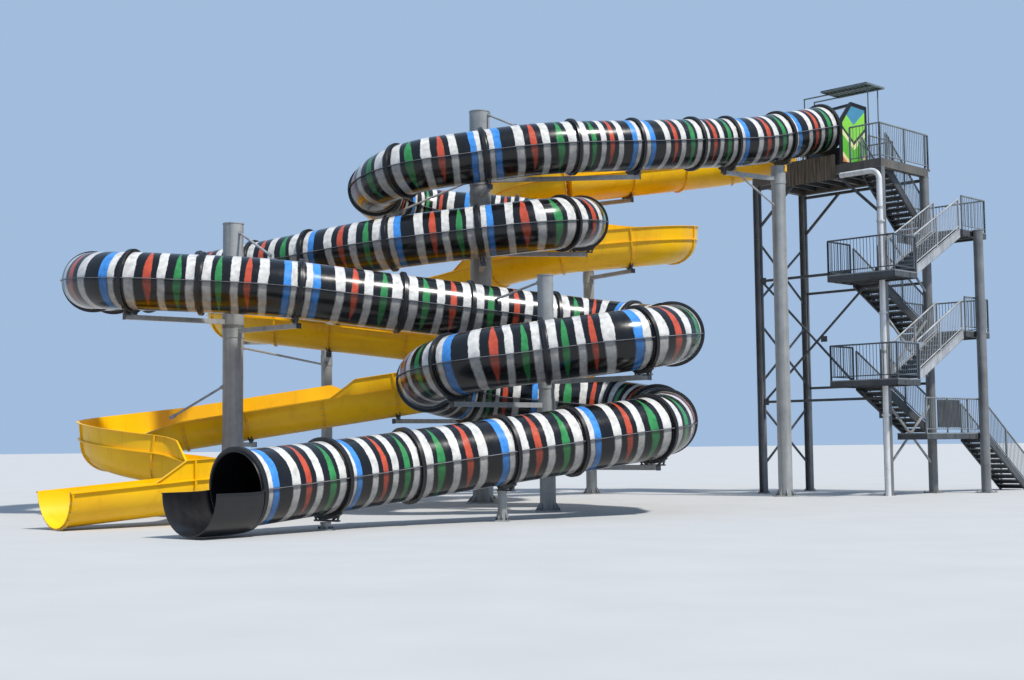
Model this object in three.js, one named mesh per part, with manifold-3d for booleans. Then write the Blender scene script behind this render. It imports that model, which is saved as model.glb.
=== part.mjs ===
// Water slide tower: a steel stair tower with a roofed start deck, a closed tube slide with bolted
// ring joints and an open flume slide, both winding down past round steel columns to the ground.
// Millimetres, +Z up. The origin is the underside of the foot of the tower's front column.
// The long slide runs lie roughly along X, and the square tower stands turned 45 degrees to them.
import * as THREE from 'three';
import { mergeVertices } from 'three/addons/utils/BufferGeometryUtils.js';
import Module from 'manifold-3d';

const wasm = await Module();
wasm.setup();

// Driving dimensions of the slides
const tubeRadius = 730;
const tubeWall = 36;
const tubeSides = 10;
const ringRadius = 810;
const ringThick = 100;
const flumeRadius = 730;
const flumeWall = 34;
const flumeSides = 5;
const lipWidth = 60;
const lipThick = 34;
const wallRise = 420;
const wallLean = 45;
const wallThick = 28;
const ribDepth = 50;
const ribThick = 70;
const bendStep = Math.PI / 6;
const jointGap = 0.3;
const seatGap = 0.4;
const shoulder = 30;
const setBack = 4;

// Driving dimensions of the tower, with its own x across the stair and its own y along the deck
const bayDepth = 2650;
const bayLength = 4580;
const columnSize = 200;
const roundColumn = 290;
const deckLevel = 10300;
const deckThick = 60;
const beamDepth = 200;
const firstLanding = 1880;
const levelRise = 1600;
const stairRuns = 5;
const riserCount = 10;
const topRisers = 13;
const groundRisers = 11;
const flightReach = 2880;
const groundGoing = 270;
const flightInner = 160;
const flightOuter = 1070;
const landingHalf = 1150;
const landingDepth = 1300;
const landingExtra = 250;
const topReach = 2230;
const railRise = 1050;
const stringerThick = 60;
const stringerDrop = 270;
const flightRail = 960;
const railBar = 45;
const postGap = 1400;

const steel = new THREE.MeshStandardMaterial({ color: 0x9a9fa2, roughness: 0.5, metalness: 0.7 });
const darkSteel = new THREE.MeshStandardMaterial({ color: 0x4d5254, roughness: 0.6, metalness: 0.6 });
const paleSteel = new THREE.MeshStandardMaterial({ color: 0xc9ccce, roughness: 0.4, metalness: 0.7 });
const blackShell = new THREE.MeshStandardMaterial({ color: 0x1c1c20, roughness: 0.3, metalness: 0 });
const yellowShell = new THREE.MeshStandardMaterial({ color: 0xf0b000, roughness: 0.3, metalness: 0 });
const boards = new THREE.MeshStandardMaterial({ color: 0x5b5045, roughness: 0.8, metalness: 0 });
const greenSheet = new THREE.MeshStandardMaterial({ color: 0x2f4f4b, roughness: 0.6, metalness: 0.1 });

const object = new THREE.Group();
const tower = new THREE.Group();
tower.rotation.z = Math.PI / 4;
object.add(tower);

// Closed solids from three.js geometry, joined and cut
function solid(geometry) {
  geometry.deleteAttribute('normal');
  geometry.deleteAttribute('uv');
  const merged = mergeVertices(geometry);
  return new wasm.Manifold(new wasm.Mesh({
    numProp: 3,
    vertProperties: new Float32Array(merged.attributes.position.array),
    triVerts: new Uint32Array(merged.index.array),
  }));
}

function join(solids) {
  return solids.reduce((sum, item) => sum.add(item));
}

function addPart(name, body, material, parent) {
  const { vertProperties, triVerts } = body.getMesh();
  const geometry = new THREE.BufferGeometry();
  geometry.setAttribute('position', new THREE.BufferAttribute(vertProperties, 3));
  geometry.setIndex(new THREE.BufferAttribute(triVerts, 1));
  const mesh = new THREE.Mesh(geometry, material);
  mesh.name = name;
  parent.add(mesh);
}

// A block between two opposite corners
function block(low, high) {
  const size = high.map((value, axis) => value - low[axis]);
  const geometry = new THREE.BoxGeometry(...size);
  geometry.translate(...high.map((value, axis) => (value + low[axis]) / 2));
  return solid(geometry);
}

// A straight rectangular bar from one point to another, its depth measured upwards
function bar(from, to, width, depth) {
  const start = new THREE.Vector3(...from);
  const reach = new THREE.Vector3(...to).sub(start);
  const along = reach.clone().normalize();
  const reference = Math.abs(along.z) > 0.95 ? new THREE.Vector3(1, 0, 0) : new THREE.Vector3(0, 0, 1);
  const side = new THREE.Vector3().crossVectors(reference, along).normalize();
  const up = new THREE.Vector3().crossVectors(along, side);
  const geometry = new THREE.BoxGeometry(reach.length(), width, depth);
  geometry.translate(reach.length() / 2, 0, 0);
  geometry.applyMatrix4(new THREE.Matrix4().makeBasis(along, side, up).setPosition(start));
  return solid(geometry);
}

// A straight round rod from one point to another
function rod(from, to, diameter, sides) {
  const start = new THREE.Vector3(...from);
  const reach = new THREE.Vector3(...to).sub(start);
  const geometry = new THREE.CylinderGeometry(diameter / 2, diameter / 2, reach.length(), sides);
  geometry.translate(0, reach.length() / 2, 0);
  const turn = new THREE.Quaternion().setFromUnitVectors(new THREE.Vector3(0, 1, 0), reach.normalize());
  geometry.applyQuaternion(turn);
  geometry.translate(...from);
  return solid(geometry);
}

// A centre line of straight stretches joined by round bends, measured by distance from its start
class CentreLine {
  constructor(corners) {
    this.parts = [];
    this.bends = [];
    this.length = 0;
    const points = corners.map(([x, y, z]) => new THREE.Vector3(x, y, z));
    let from = points[0];
    for (let i = 1; i < points.length - 1; i += 1) {
      const before = points[i].clone().sub(points[i - 1]).normalize();
      const after = points[i + 1].clone().sub(points[i]).normalize();
      const angle = before.angleTo(after);
      const radius = corners[i][3];
      const cut = radius * Math.tan(angle / 2);
      const arcStart = points[i].clone().addScaledVector(before, -cut);
      this.addStraight(from, arcStart);
      const inward = after.clone().addScaledVector(before, -after.dot(before)).normalize();
      this.addBend(arcStart, before, inward, radius, angle);
      from = points[i].clone().addScaledVector(after, cut);
    }
    this.addStraight(from, points[points.length - 1]);
  }

  addStraight(from, to) {
    const along = to.clone().sub(from);
    const length = along.length();
    along.normalize();
    const at = (d) => [from.clone().addScaledVector(along, d), along];
    this.parts.push({ start: this.length, length, angle: 0, at });
    this.length += length;
  }

  addBend(from, before, inward, radius, angle) {
    const centre = from.clone().addScaledVector(inward, radius);
    const at = (d) => {
      const turn = d / radius;
      const point = centre.clone().addScaledVector(inward, -radius * Math.cos(turn));
      point.addScaledVector(before, radius * Math.sin(turn));
      const along = before.clone().multiplyScalar(Math.cos(turn)).addScaledVector(inward, Math.sin(turn));
      return [point, along];
    };
    const length = radius * angle;
    this.parts.push({ start: this.length, length, angle, at });
    this.bends.push([this.length, this.length + length]);
    this.length += length;
  }

  // The point and the upright cross-section axes at a distance; side points left of the travel
  frame(distance) {
    const part = this.parts.findLast((item) => item.start <= distance) ?? this.parts[0];
    const [point, along] = part.at(distance - part.start);
    const side = new THREE.Vector3(0, 0, 1).cross(along).normalize();
    const up = along.clone().cross(side);
    return { point, along, side, up };
  }

  // Distances at which a sweep needs a cross-section, with marks where something joins it
  stations(from, to, marks) {
    const apart = 40;
    const bends = this.parts.flatMap(({ start, length, angle }) => {
      const steps = Math.max(1, Math.ceil(angle / bendStep));
      return Array.from({ length: steps }, (_, i) => start + (length * i) / steps);
    });
    const fixed = [from, to, ...marks.filter((mark) => mark > from && mark < to)];
    const clear = (stop) => fixed.every((at) => Math.abs(stop - at) > apart);
    const free = bends.filter((stop) => stop > from && stop < to && clear(stop));
    return [...fixed, ...free].sort((a, b) => a - b);
  }

  // The distance along the line of its point nearest to a given one
  nearest(x, y, z) {
    const target = new THREE.Vector3(x, y, z);
    let best = 0;
    let least = Infinity;
    for (let distance = 0; distance < this.length; distance += 50) {
      const gap = this.frame(distance).point.distanceTo(target);
      if (gap < least) [best, least] = [distance, gap];
    }
    return best;
  }
}

// The curve that an extrusion follows, with its sections kept upright at chosen stations
class UprightSweep extends THREE.Curve {
  constructor(line, stops) {
    super();
    this.frames = stops.map((distance) => line.frame(distance));
  }

  getPoint(t) {
    return this.frames[Math.round(t * (this.frames.length - 1))].point;
  }

  getSpacedPoints() {
    return this.frames.map((frame) => frame.point);
  }

  computeFrenetFrames() {
    return {
      tangents: this.frames.map((frame) => frame.along),
      normals: this.frames.map((frame) => frame.side),
      binormals: this.frames.map((frame) => frame.up),
    };
  }
}

function sweep(shape, line, stops) {
  const path = new UprightSweep(line, stops);
  return solid(new THREE.ExtrudeGeometry(shape, { steps: stops.length - 1, extrudePath: path }));
}

// The same sweep between two of its stations, set back a little from both
function sweepBetween(shape, line, stops, from, to) {
  const inside = stops.filter((stop) => stop > from + 1 && stop < to - 1);
  return sweep(shape, line, [from + setBack, ...inside, to - setBack]);
}

function arcPoints(radius, from, to, sides, drop) {
  const points = [];
  for (let i = 0; i <= sides; i += 1) {
    const angle = from + ((to - from) * i) / sides;
    points.push(new THREE.Vector2(radius * Math.cos(angle), radius * Math.sin(angle) - drop));
  }
  return points;
}

function disc(radius) {
  return new THREE.Shape(arcPoints(radius, 0, 2 * Math.PI, tubeSides, 0).slice(0, tubeSides));
}

function annulus(outer, inner) {
  const shape = disc(outer);
  shape.holes.push(new THREE.Path(disc(inner).getPoints()));
  return shape;
}

// Closed tube slide
const tubeLine = new CentreLine([
  [-1410, 1447, 11530],
  [-4050, -350, 10780, 7000],
  [-7750, -2400, 10280, 9000],
  [-10450, -3500, 10030, 9000],
  [-15300, -3900, 9300, 1900],
  [-15300, 300, 8950, 1900],
  [-9290, 300, 8350, 1900],
  [-9290, -3850, 7900, 1900],
  [-14850, -3700, 7330, 9000],
  [-22410, -800, 6400, 1900],
  [-22410, -7800, 5950, 1900],
  [-17550, -7500, 5720, 9000],
  [-7390, -4600, 4620, 1900],
  [-7390, -9900, 4220, 1900],
  [-13450, -10000, 3500, 1900],
  [-13450, -5800, 3080, 1900],
  [-7700, -5800, 2500, 1900],
  [-7700, -10050, 2060, 1900],
  [-14250, -13900, 1150, 6000],
  [-16550, -16700, 870],
]);
const tubeBends = tubeLine.bends;
const tubeStretches = [
  ['tube_run_1', 0, tubeBends[3][0]],
  ['tube_turn_1', tubeBends[3][0], tubeBends[5][0]],
  ['tube_turn_2', tubeBends[5][0], tubeBends[6][1]],
  ['tube_run_2', tubeBends[6][1], tubeBends[8][0]],
  ['tube_turn_3', tubeBends[8][0], tubeBends[9][1]],
  ['tube_run_3', tubeBends[9][1], tubeBends[11][0]],
  ['tube_turn_4', tubeBends[11][0], tubeBends[12][1]],
  ['tube_run_4', tubeBends[12][1], tubeBends[13][0]],
  ['tube_turn_5', tubeBends[13][0], tubeBends[15][0]],
  ['tube_turn_6', tubeBends[15][0], tubeBends[16][1]],
  ['tube_run_5', tubeBends[16][1], tubeLine.length],
];

function tubeSection(from, to, joints) {
  const half = ringThick / 2;
  const marks = joints.flatMap((at) => [at - half - shoulder, at + half + shoulder]);
  const stops = tubeLine.stations(from + jointGap, to, marks);
  const shell = sweep(annulus(tubeRadius, tubeRadius - tubeWall), tubeLine, stops);
  const ringShape = annulus(ringRadius, tubeRadius - tubeWall / 2);
  return joints.reduce((sum, at) => sum.add(sweep(ringShape, tubeLine, [at - half, at + half])), shell);
}

// The space that a ring joint takes up, grown by the seat gap
function tubeSpace(joint) {
  const half = ringThick / 2 + seatGap;
  return sweep(disc(ringRadius + seatGap), tubeLine, [joint - half, joint + half]);
}

function addTube() {
  for (const [name, from, to] of tubeStretches) {
    addPart(name, tubeSection(from, to, jointsWithin(tubeSlide, from, to)), blackShell, object);
  }
}

// Open trough at the tube's mouth, a little wider than the tube, which levels out over the ground
function addExitTrough() {
  const { point, along, up } = tubeLine.frame(tubeLine.length);
  const spread = 60;
  const slopeReach = 250;
  const levelReach = 850;
  const ahead = along.clone().setZ(0).normalize();
  const start = point.clone().addScaledVector(along, jointGap - setBack);
  start.addScaledVector(up, -spread / 2);
  const bend = start.clone().addScaledVector(along, slopeReach);
  const end = bend.clone().addScaledVector(ahead, levelReach);
  const line = new CentreLine([start.toArray(), [...bend.toArray(), 3000], end.toArray()]);
  const radius = tubeRadius + spread;
  const outer = arcPoints(radius, Math.PI, 2 * Math.PI, flumeSides, 0);
  const inner = arcPoints(radius - tubeWall, 2 * Math.PI, Math.PI, flumeSides, 0);
  const shape = new THREE.Shape([...outer, ...inner]);
  addPart('exit_trough', sweep(shape, line, line.stations(0, line.length, [])), blackShell, object);
}

// Open flume slide: a half-round trough with side lips, and a raised wall on the outside of its bends
const flumeLine = new CentreLine([
  [-2200, 3900, 11400],
  [-3650, 5300, 11250, 2000],
  [-9150, 2900, 10300, 3000],
  [-11450, 2800, 10000, 1800],
  [-11450, 6500, 9550, 1800],
  [-5850, 6500, 8750, 1800],
  [-5850, 2800, 8250, 1800],
  [-10350, 2300, 7850, 4000],
  [-15950, 5900, 6750, 4000],
  [-20300, 5900, 6150, 1800],
  [-20300, 500, 5780, 1800],
  [-9490, 500, 4400, 1800],
  [-9490, -3250, 4000, 1800],
  [-21700, -4700, 2150, 1650],
  [-21700, -8100, 1850, 1650],
  [-18150, -8100, 1250, 1700],
  [-18150, -11600, 1050, 1800],
  [-20800, -14100, 790],
]);
const flumeBends = flumeLine.bends;
const flumeStretches = [
  ['flume_run_1', 0, flumeBends[2][0]],
  ['flume_turn_1', flumeBends[2][0], flumeBends[4][0]],
  ['flume_turn_2', flumeBends[4][0], flumeBends[5][1]],
  ['flume_run_2', flumeBends[5][1], flumeBends[8][0]],
  ['flume_turn_3', flumeBends[8][0], flumeBends[9][1]],
  ['flume_run_3', flumeBends[9][1], flumeBends[10][0]],
  ['flume_turn_4', flumeBends[10][0], flumeBends[11][1]],
  ['flume_run_4', flumeBends[11][1], flumeBends[12][0]],
  ['flume_turn_5', flumeBends[12][0], flumeBends[14][0]],
  ['flume_turn_6', flumeBends[14][0], flumeBends[15][1]],
  ['flume_run_5', flumeBends[15][1], flumeLine.length],
];
const wallStep = 1600;
const leftWalls = [
  [flumeBends[1][0] - wallStep, flumeBends[6][1] + wallStep],
  [flumeBends[9][1] + wallStep, flumeBends[11][1] + 3.4 * wallStep],
  [flumeBends[13][1] + wallStep, flumeLine.length - 1.2 * wallStep],
];
const rightWalls = [
  [0, flumeBends[0][1] + wallStep],
  [flumeBends[7][0] - wallStep, flumeBends[9][1] + wallStep],
  [flumeBends[12][0] - 3 * wallStep, flumeBends[13][1] + wallStep],
];

// The trough outline with its two side lips
function troughShape() {
  const half = flumeRadius + lipWidth;
  const bore = flumeRadius - flumeWall;
  const outer = arcPoints(flumeRadius, Math.PI, 2 * Math.PI, flumeSides, lipThick);
  const inner = arcPoints(bore, 2 * Math.PI, Math.PI, flumeSides, lipThick);
  const points = [
    [-half, 0], [-half, -lipThick], ...outer.map(({ x, y }) => [x, y]), [half, -lipThick], [half, 0],
    [bore, 0], ...inner.map(({ x, y }) => [x, y]), [-bore, 0],
  ];
  return new THREE.Shape(points.map(([x, y]) => new THREE.Vector2(x, y)));
}

// A raised wall leaning outwards above one lip
function wallShape(side) {
  const foot = flumeRadius - flumeWall + 5;
  const rim = foot + wallLean;
  const outline = [
    [foot, -lipThick / 2], [foot + wallThick, -lipThick / 2], [rim + wallThick, wallRise], [rim, wallRise],
  ];
  return new THREE.Shape(outline.map(([x, y]) => new THREE.Vector2(side * x, y)));
}

function ribShape(outer, inner) {
  const top = -lipThick / 2;
  const points = [
    [-outer, top], ...arcPoints(outer, Math.PI, 2 * Math.PI, flumeSides, lipThick).map(({ x, y }) => [x, y]),
    [outer, top], [inner, top],
    ...arcPoints(inner, 2 * Math.PI, Math.PI, flumeSides, lipThick).map(({ x, y }) => [x, y]), [-inner, top],
  ];
  return new THREE.Shape(points.map(([x, y]) => new THREE.Vector2(x, y)));
}

function flumeSection(from, to, joints) {
  const half = ribThick / 2;
  const start = from + jointGap;
  const walls = [[1, leftWalls], [-1, rightWalls]].flatMap(([side, ranges]) => (
    ranges.map(([wallFrom, wallTo]) => [side, Math.max(start, wallFrom), Math.min(to, wallTo)])
  )).filter(([, low, high]) => high - low > wallStep / 4);
  const ribMarks = joints.flatMap((at) => [at - half - shoulder, at + half + shoulder]);
  const wallMarks = walls.flatMap(([, low, high]) => [low, high]);
  const stops = flumeLine.stations(start, to, [...new Set([...ribMarks, ...wallMarks])]);
  let body = sweep(troughShape(), flumeLine, stops);
  for (const [side, low, high] of walls) {
    body = body.add(sweepBetween(wallShape(side), flumeLine, stops, low, high));
  }
  const rib = ribShape(flumeRadius + ribDepth, flumeRadius - flumeWall / 2);
  return joints.reduce((sum, at) => sum.add(sweep(rib, flumeLine, [at - half, at + half])), body);
}

function flumeSpace(joint) {
  const half = ribThick / 2 + seatGap;
  const points = arcPoints(flumeRadius + ribDepth + seatGap, Math.PI, 2 * Math.PI, flumeSides, lipThick);
  return sweep(new THREE.Shape(points), flumeLine, [joint - half, joint + half]);
}

function addFlume() {
  for (const [name, from, to] of flumeStretches) {
    addPart(name, flumeSection(from, to, jointsWithin(flumeSlide, from, to)), yellowShell, object);
  }
}

// Round columns with arms: each arm ends in a cradle that fits under a joint of a slide
const tubeSlide = { line: tubeLine, reach: ringRadius, thick: ringThick, space: tubeSpace };
const flumeSlide = { line: flumeLine, reach: flumeRadius + ribDepth, thick: ribThick, space: flumeSpace };
const cradleWidth = 760;
const cradleThick = 60;
const cradleDrop = 170;
const armDepth = 170;
const supports = [
  { x: -12230, y: -2100, diameter: 600, top: 11400, arms: [
    [tubeSlide, -12100, -3650, 9770], [tubeSlide, -7800, -2500, 10280], [tubeSlide, -12250, -3800, 7600],
    [tubeSlide, -9290, -1800, 8120], [tubeSlide, -12400, 300, 8650],
    [flumeSlide, -12230, 500, 4750], [flumeSlide, -14650, -3900, 3200],
  ] },
  { x: -18720, y: -5800, diameter: 540, top: 7600, arms: [
    [tubeSlide, -20900, -7750, 5900], [tubeSlide, -16800, -7200, 5640], [tubeSlide, -18700, -2200, 6850],
    [flumeSlide, -18600, -4300, 2600], [flumeSlide, -20100, -8100, 1560],
  ] },
  { x: -10500, y: -7800, diameter: 400, top: 5900, arms: [
    [tubeSlide, -8400, -9600, 4150], [tubeSlide, -12900, -9700, 3550], [tubeSlide, -8200, -10200, 2050],
    [tubeSlide, -10300, -5450, 4930], [tubeSlide, -10500, -5800, 2780],
  ] },
  { x: -3070, y: 350, diameter: 430, top: 10150, arms: [
    [tubeSlide, -3070, 350, 11080], [tubeSlide, -4800, -850, 10700],
  ] },
  { x: -8750, y: 4500, diameter: 360, top: 9760, arms: [
    [flumeSlide, -7600, 3580, 10550], [flumeSlide, -7600, 2600, 8100], [flumeSlide, -8750, 6500, 9150],
  ] },
  { x: -17400, y: 3200, diameter: 360, top: 5900, arms: [
    [flumeSlide, -17400, 5900, 6550], [flumeSlide, -16900, 500, 5350], [flumeSlide, -20300, 3200, 5970],
  ] },
  { x: -11600, y: -12330, diameter: 200, top: 660, arms: [[tubeSlide, -11600, -12330, 1520]] },
  { x: -15100, y: -14950, diameter: 200, top: 160, arms: [[tubeSlide, -15100, -14950, 1000]] },
  { x: -18150, y: -10000, diameter: 200, top: 300, arms: [[flumeSlide, -18150, -10000, 1150]] },
];

// Joints at the end of a tube stretch and wherever an arm holds a slide
function jointsWithin(slide, from, to) {
  const joints = slide === tubeSlide ? [to - slide.thick / 2 - setBack] : [];
  for (const [held, ...near] of supports.flatMap((support) => support.arms)) {
    const at = slide.line.nearest(...near);
    const room = 2 * slide.thick;
    if (held === slide && at > from + room && at < to - room) joints.push(at);
  }
  return joints;
}

function cradle(slide, near) {
  const joint = slide.line.nearest(...near);
  const { point, along, side, up } = slide.line.frame(joint);
  const shape = new THREE.BoxGeometry(cradleThick, cradleWidth, slide.reach);
  shape.translate(0, 0, -slide.reach / 2 - cradleDrop);
  shape.applyMatrix4(new THREE.Matrix4().makeBasis(along, side, up).setPosition(point));
  const foot = point.clone().addScaledVector(up, -slide.reach - cradleDrop + armDepth / 2);
  return { body: solid(shape), foot, space: slide.space(joint) };
}

function addSupport(name, { x, y, diameter, top, arms }) {
  const plate = diameter * 0.8;
  const parts = [
    rod([x, y, 0], [x, y, top], diameter, 10),
    block([x - plate, y - plate, 0], [x + plate, y + plate, 30]),
  ];
  const spaces = [block([x - 2000, y - 2000, -2000], [x + 2000, y + 2000, 0])];
  for (const [slide, ...near] of arms) {
    const { body, foot, space } = cradle(slide, near);
    parts.push(body, bar([x, y, Math.max(foot.z, armDepth / 2)], foot.toArray(), armDepth, armDepth));
    spaces.push(space);
  }
  addPart(name, join(parts).subtract(join(spaces)), steel, object);
}

function addSupports() {
  supports.forEach((support, i) => addSupport(`slide_column_${i + 1}`, support));
}

// Tower columns with foot plates
function towerColumn(name, x, y, top) {
  const half = columnSize / 2;
  const foot = columnSize * 0.7;
  const shaft = block([x - half, y - half, 0], [x + half, y + half, top]);
  addPart(name, shaft.add(block([x - foot, y - foot, 0], [x + foot, y + foot, 30])), steel, tower);
}

function tubeColumn(name, x, y, diameter, top) {
  const foot = diameter * 0.83;
  const shaft = rod([x, y, 0], [x, y, top], diameter, 12);
  addPart(name, shaft.add(block([x - foot, y - foot, 0], [x + foot, y + foot, 30])), steel, tower);
}

const columnTop = deckLevel - deckThick - beamDepth - jointGap;
const kneeTop = columnTop - 100;
const kneeDrop = 1250;
const kneeReach = 1450;
const stripThick = 16;
const stairColumn = { x: 3580, y: -landingHalf - 150 - seatGap, diameter: 300 };

function addColumns() {
  towerColumn('column_front', 0, 0, columnTop);
  towerColumn('column_left', 0, bayLength, columnTop);
  towerColumn('column_rear', bayDepth, bayLength, columnTop);
  tubeColumn('column_right', bayDepth, 0, roundColumn, columnTop);
  const { x, y, diameter } = stairColumn;
  tubeColumn('stair_column', x, y, diameter, firstLanding + 4 * levelRise);
}

// Bracing in one face of the tower, between two columns: each diagonal and horizontal is given by
// its two heights, the knees run up to a bar under the deck, and a strip on the far column joins them
function addBracing(name, from, to, diagonals, horizontals, knees, landings) {
  const half = columnSize / 2 + seatGap;
  const reach = Math.hypot(to[0] - from[0], to[1] - from[1]);
  const along = [(to[0] - from[0]) / reach, (to[1] - from[1]) / reach];
  const spot = (distance, z) => [from[0] + along[0] * distance, from[1] + along[1] * distance, z];
  const end = reach - half;
  const kneeHeights = knees.length ? [kneeTop, kneeTop - kneeDrop] : [];
  const heights = [...diagonals.flat(), ...horizontals, ...kneeHeights];
  const strip = end - stripThick / 2;
  const parts = [bar(spot(strip, Math.min(...heights)), spot(strip, Math.max(...heights)), stripThick, 70)];
  for (const [low, high] of diagonals) parts.push(bar(spot(half, low), spot(end - setBack, high), 50, 60));
  for (const z of horizontals) parts.push(bar(spot(half, z), spot(end - setBack, z), 80, 80));
  for (const [foot, head] of knees) {
    parts.push(bar(spot(foot, kneeTop - kneeDrop), spot(head, kneeTop), 60, 80));
  }
  if (knees.length) parts.push(bar(spot(half, kneeTop), spot(end - setBack, kneeTop), 90, 90));
  const clear = landings.map((level) => block([-landingDepth, -landingHalf, level - 290],
    [60, landingHalf + seatGap, level + 320]));
  clear.push(block([-500, -500, columnTop], [500, 500, deckLevel]));
  for (const [x, y] of [from, to]) {
    clear.push(block([x - half, y - half, -10], [x + half, y + half, deckLevel]));
  }
  clear.push(rod([bayDepth, 0, -10], [bayDepth, 0, deckLevel], roundColumn + 2 * seatGap, 12));
  addPart(name, join(parts).subtract(join(clear)), darkSteel, tower);
}

function addBracings() {
  const front = [0, 0];
  const left = [0, bayLength];
  const rear = [bayDepth, bayLength];
  const right = [bayDepth, 0];
  const crossSpan = 1800;
  const crosses = [950, 3650, 6350].flatMap((low) => [[low, low + crossSpan], [low + crossSpan, low]]);
  const half = columnSize / 2;
  const pair = [[half, kneeReach], [bayLength - half, bayLength - kneeReach]];
  const landings = [1, 3].map((i) => firstLanding + i * levelRise);
  addBracing('bracing_front', front, left, [[2400, 6900], [6900, 2950]], [2950, 6900], pair, landings);
  addBracing('bracing_rear', right, rear, [], [3450, 6650], pair.slice(1), []);
  addBracing('bracing_left', left, rear, crosses, [], [], []);
  addBracing('bracing_right', front, right, crosses, [], [], []);
}

// Guard rails along a run of corner points, with posts and a top rail
function guard(corners, level) {
  const post = railBar / 2 - 3;
  const rail = railBar / 2;
  const top = level + railRise;
  const parts = [];
  const addPost = (x, y) => {
    parts.push(block([x - post, y - post, level - deckThick], [x + post, y + post, top]));
  };
  addPost(...corners[0]);
  for (let i = 1; i < corners.length; i += 1) {
    const [ax, ay] = corners[i - 1];
    const [bx, by] = corners[i];
    const posts = Math.max(1, Math.round(Math.hypot(bx - ax, by - ay) / postGap));
    for (let k = 1; k <= posts; k += 1) {
      addPost(ax + ((bx - ax) * k) / posts, ay + ((by - ay) * k) / posts);
    }
    parts.push(block([Math.min(ax, bx) - rail, Math.min(ay, by) - rail, top - rail],
      [Math.max(ax, bx) + rail, Math.max(ay, by) + rail, top + rail]));
  }
  return join(parts);
}

// A landing: grating deck in an edge frame, with its guard
function addLanding(name, plates, level, corners) {
  const parts = plates.map(([x0, y0, x1, y1]) => block([x0, y0, level - beamDepth], [x1, y1, level]));
  const body = join(parts).add(guard(corners, level));
  const half = columnSize / 2 + seatGap;
  const pipe = riserPipe.diameter / 2 + 20;
  const holes = [[0, 0, half], [bayDepth, 0, roundColumn / 2 + seatGap], [riserPipe.x, riserPipe.y, pipe]];
  const clear = holes.map(([x, y, side]) => (
    block([x - side, y - side, -10], [x + side, y + side, deckLevel])
  ));
  addPart(name, body.subtract(join(clear)), darkSteel, tower);
}

// A straight flight climbing along x between two landing edges: two stringers, treads, and a guard
// of posts and a top rail on both sides
function addFlight(name, { base, climb, risers, reach }, lowX, direction, side) {
  const rise = climb / risers;
  const step = reach / (risers - 1);
  const slope = rise / step;
  const nosing = (d) => base + rise + d * slope;
  const place = (d) => lowX + direction * d;
  const low = Math.min(side * flightInner, side * flightOuter);
  const high = low + flightOuter - flightInner;
  const start = seatGap;
  const end = reach - seatGap;
  const parts = [];
  for (const y of [low, high - stringerThick]) {
    const outline = [[end, nosing(end) - stringerDrop], [end, nosing(end) + 15], [start, nosing(start) + 15]];
    if (base === 0) outline.push([start, 0], [(stringerDrop - rise) / slope, 0]);
    else outline.push([start, nosing(start) - stringerDrop]);
    const shape = new THREE.Shape(outline.map(([d, z]) => new THREE.Vector2(place(d), z)));
    const plate = new THREE.ExtrudeGeometry(shape, { depth: stringerThick, bevelEnabled: false });
    plate.rotateX(Math.PI / 2);
    plate.translate(0, y + stringerThick, 0);
    parts.push(solid(plate));
    const middle = y + stringerThick / 2;
    const head = (d) => [place(d), middle, nosing(d) + flightRail];
    for (const d of [60, reach / 2, reach - 60]) {
      const [x, , z] = head(d);
      parts.push(block([x - 20, middle - 20, nosing(d) - 100], [x + 20, middle + 20, z]));
    }
    parts.push(bar(head(35), head(reach - 35), 50, 50));
  }
  for (let i = 1; i < risers; i += 1) {
    const top = base + i * rise;
    const edges = [place((i - 1) * step + start), place(i * step - 30)].sort((a, b) => a - b);
    parts.push(block([edges[0], low + 20, top - 50], [edges[1], high - 20, top]));
  }
  addPart(name, join(parts), darkSteel, tower);
}

const riserPipe = { x: -240, y: -100, diameter: 170, run: 1350 };

function addStairs() {
  const farX = flightReach + landingDepth;
  const deepX = farX + landingExtra;
  const inset = railBar / 2 + 5;
  const outer = landingHalf - inset;
  const lowPlate = [flightReach, -landingHalf, farX, landingHalf];
  const rightPlate = [flightReach, -landingHalf, deepX, landingHalf];
  const leftPlate = [-landingDepth, -landingHalf, 0, landingHalf];
  const firstPlate = [flightReach - 2 * landingDepth, -landingHalf, flightReach + 10, -flightInner];
  const firstSeat = [bayDepth - 60, -flightInner - 10, bayDepth + 60, -columnSize / 2];
  const stub = [bayDepth, -columnSize / 2, flightReach + 10, columnSize / 2];
  const around = (near, far) => [[near, -outer], [far, -outer], [far, outer], [near, outer]];
  const rightGuard = around(flightReach + inset, deepX - inset);
  const leftGuard = around(-inset, -landingDepth + inset);
  const firstGuard = [[firstPlate[0] + inset, -outer], [farX - inset, -outer]];
  for (let i = 0; i < stairRuns; i += 1) {
    const level = firstLanding + i * levelRise;
    const onRight = i % 2 === 0;
    const name = `landing_${i + 1}`;
    if (i === 0) addLanding(name, [lowPlate, firstPlate, firstSeat, stub], level, firstGuard);
    else if (onRight) addLanding(name, [rightPlate, stub], level, rightGuard);
    else addLanding(name, [leftPlate], level, leftGuard);
    const last = i === stairRuns - 1;
    const run = {
      base: level,
      climb: last ? deckLevel - level : levelRise,
      risers: last ? topRisers : riserCount,
      reach: last ? topReach : flightReach,
    };
    const side = onRight ? 1 : -1;
    addFlight(`flight_${i + 2}`, run, onRight ? flightReach : 0, -side, side);
  }
  const groundReach = (groundRisers - 1) * groundGoing;
  addFlight('flight_1', { base: 0, climb: firstLanding, risers: groundRisers, reach: groundReach },
    farX + groundReach, -1, -1);
}

// Start deck with its stair opening, edge beams and joists
const deckEnd = flightReach;

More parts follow.
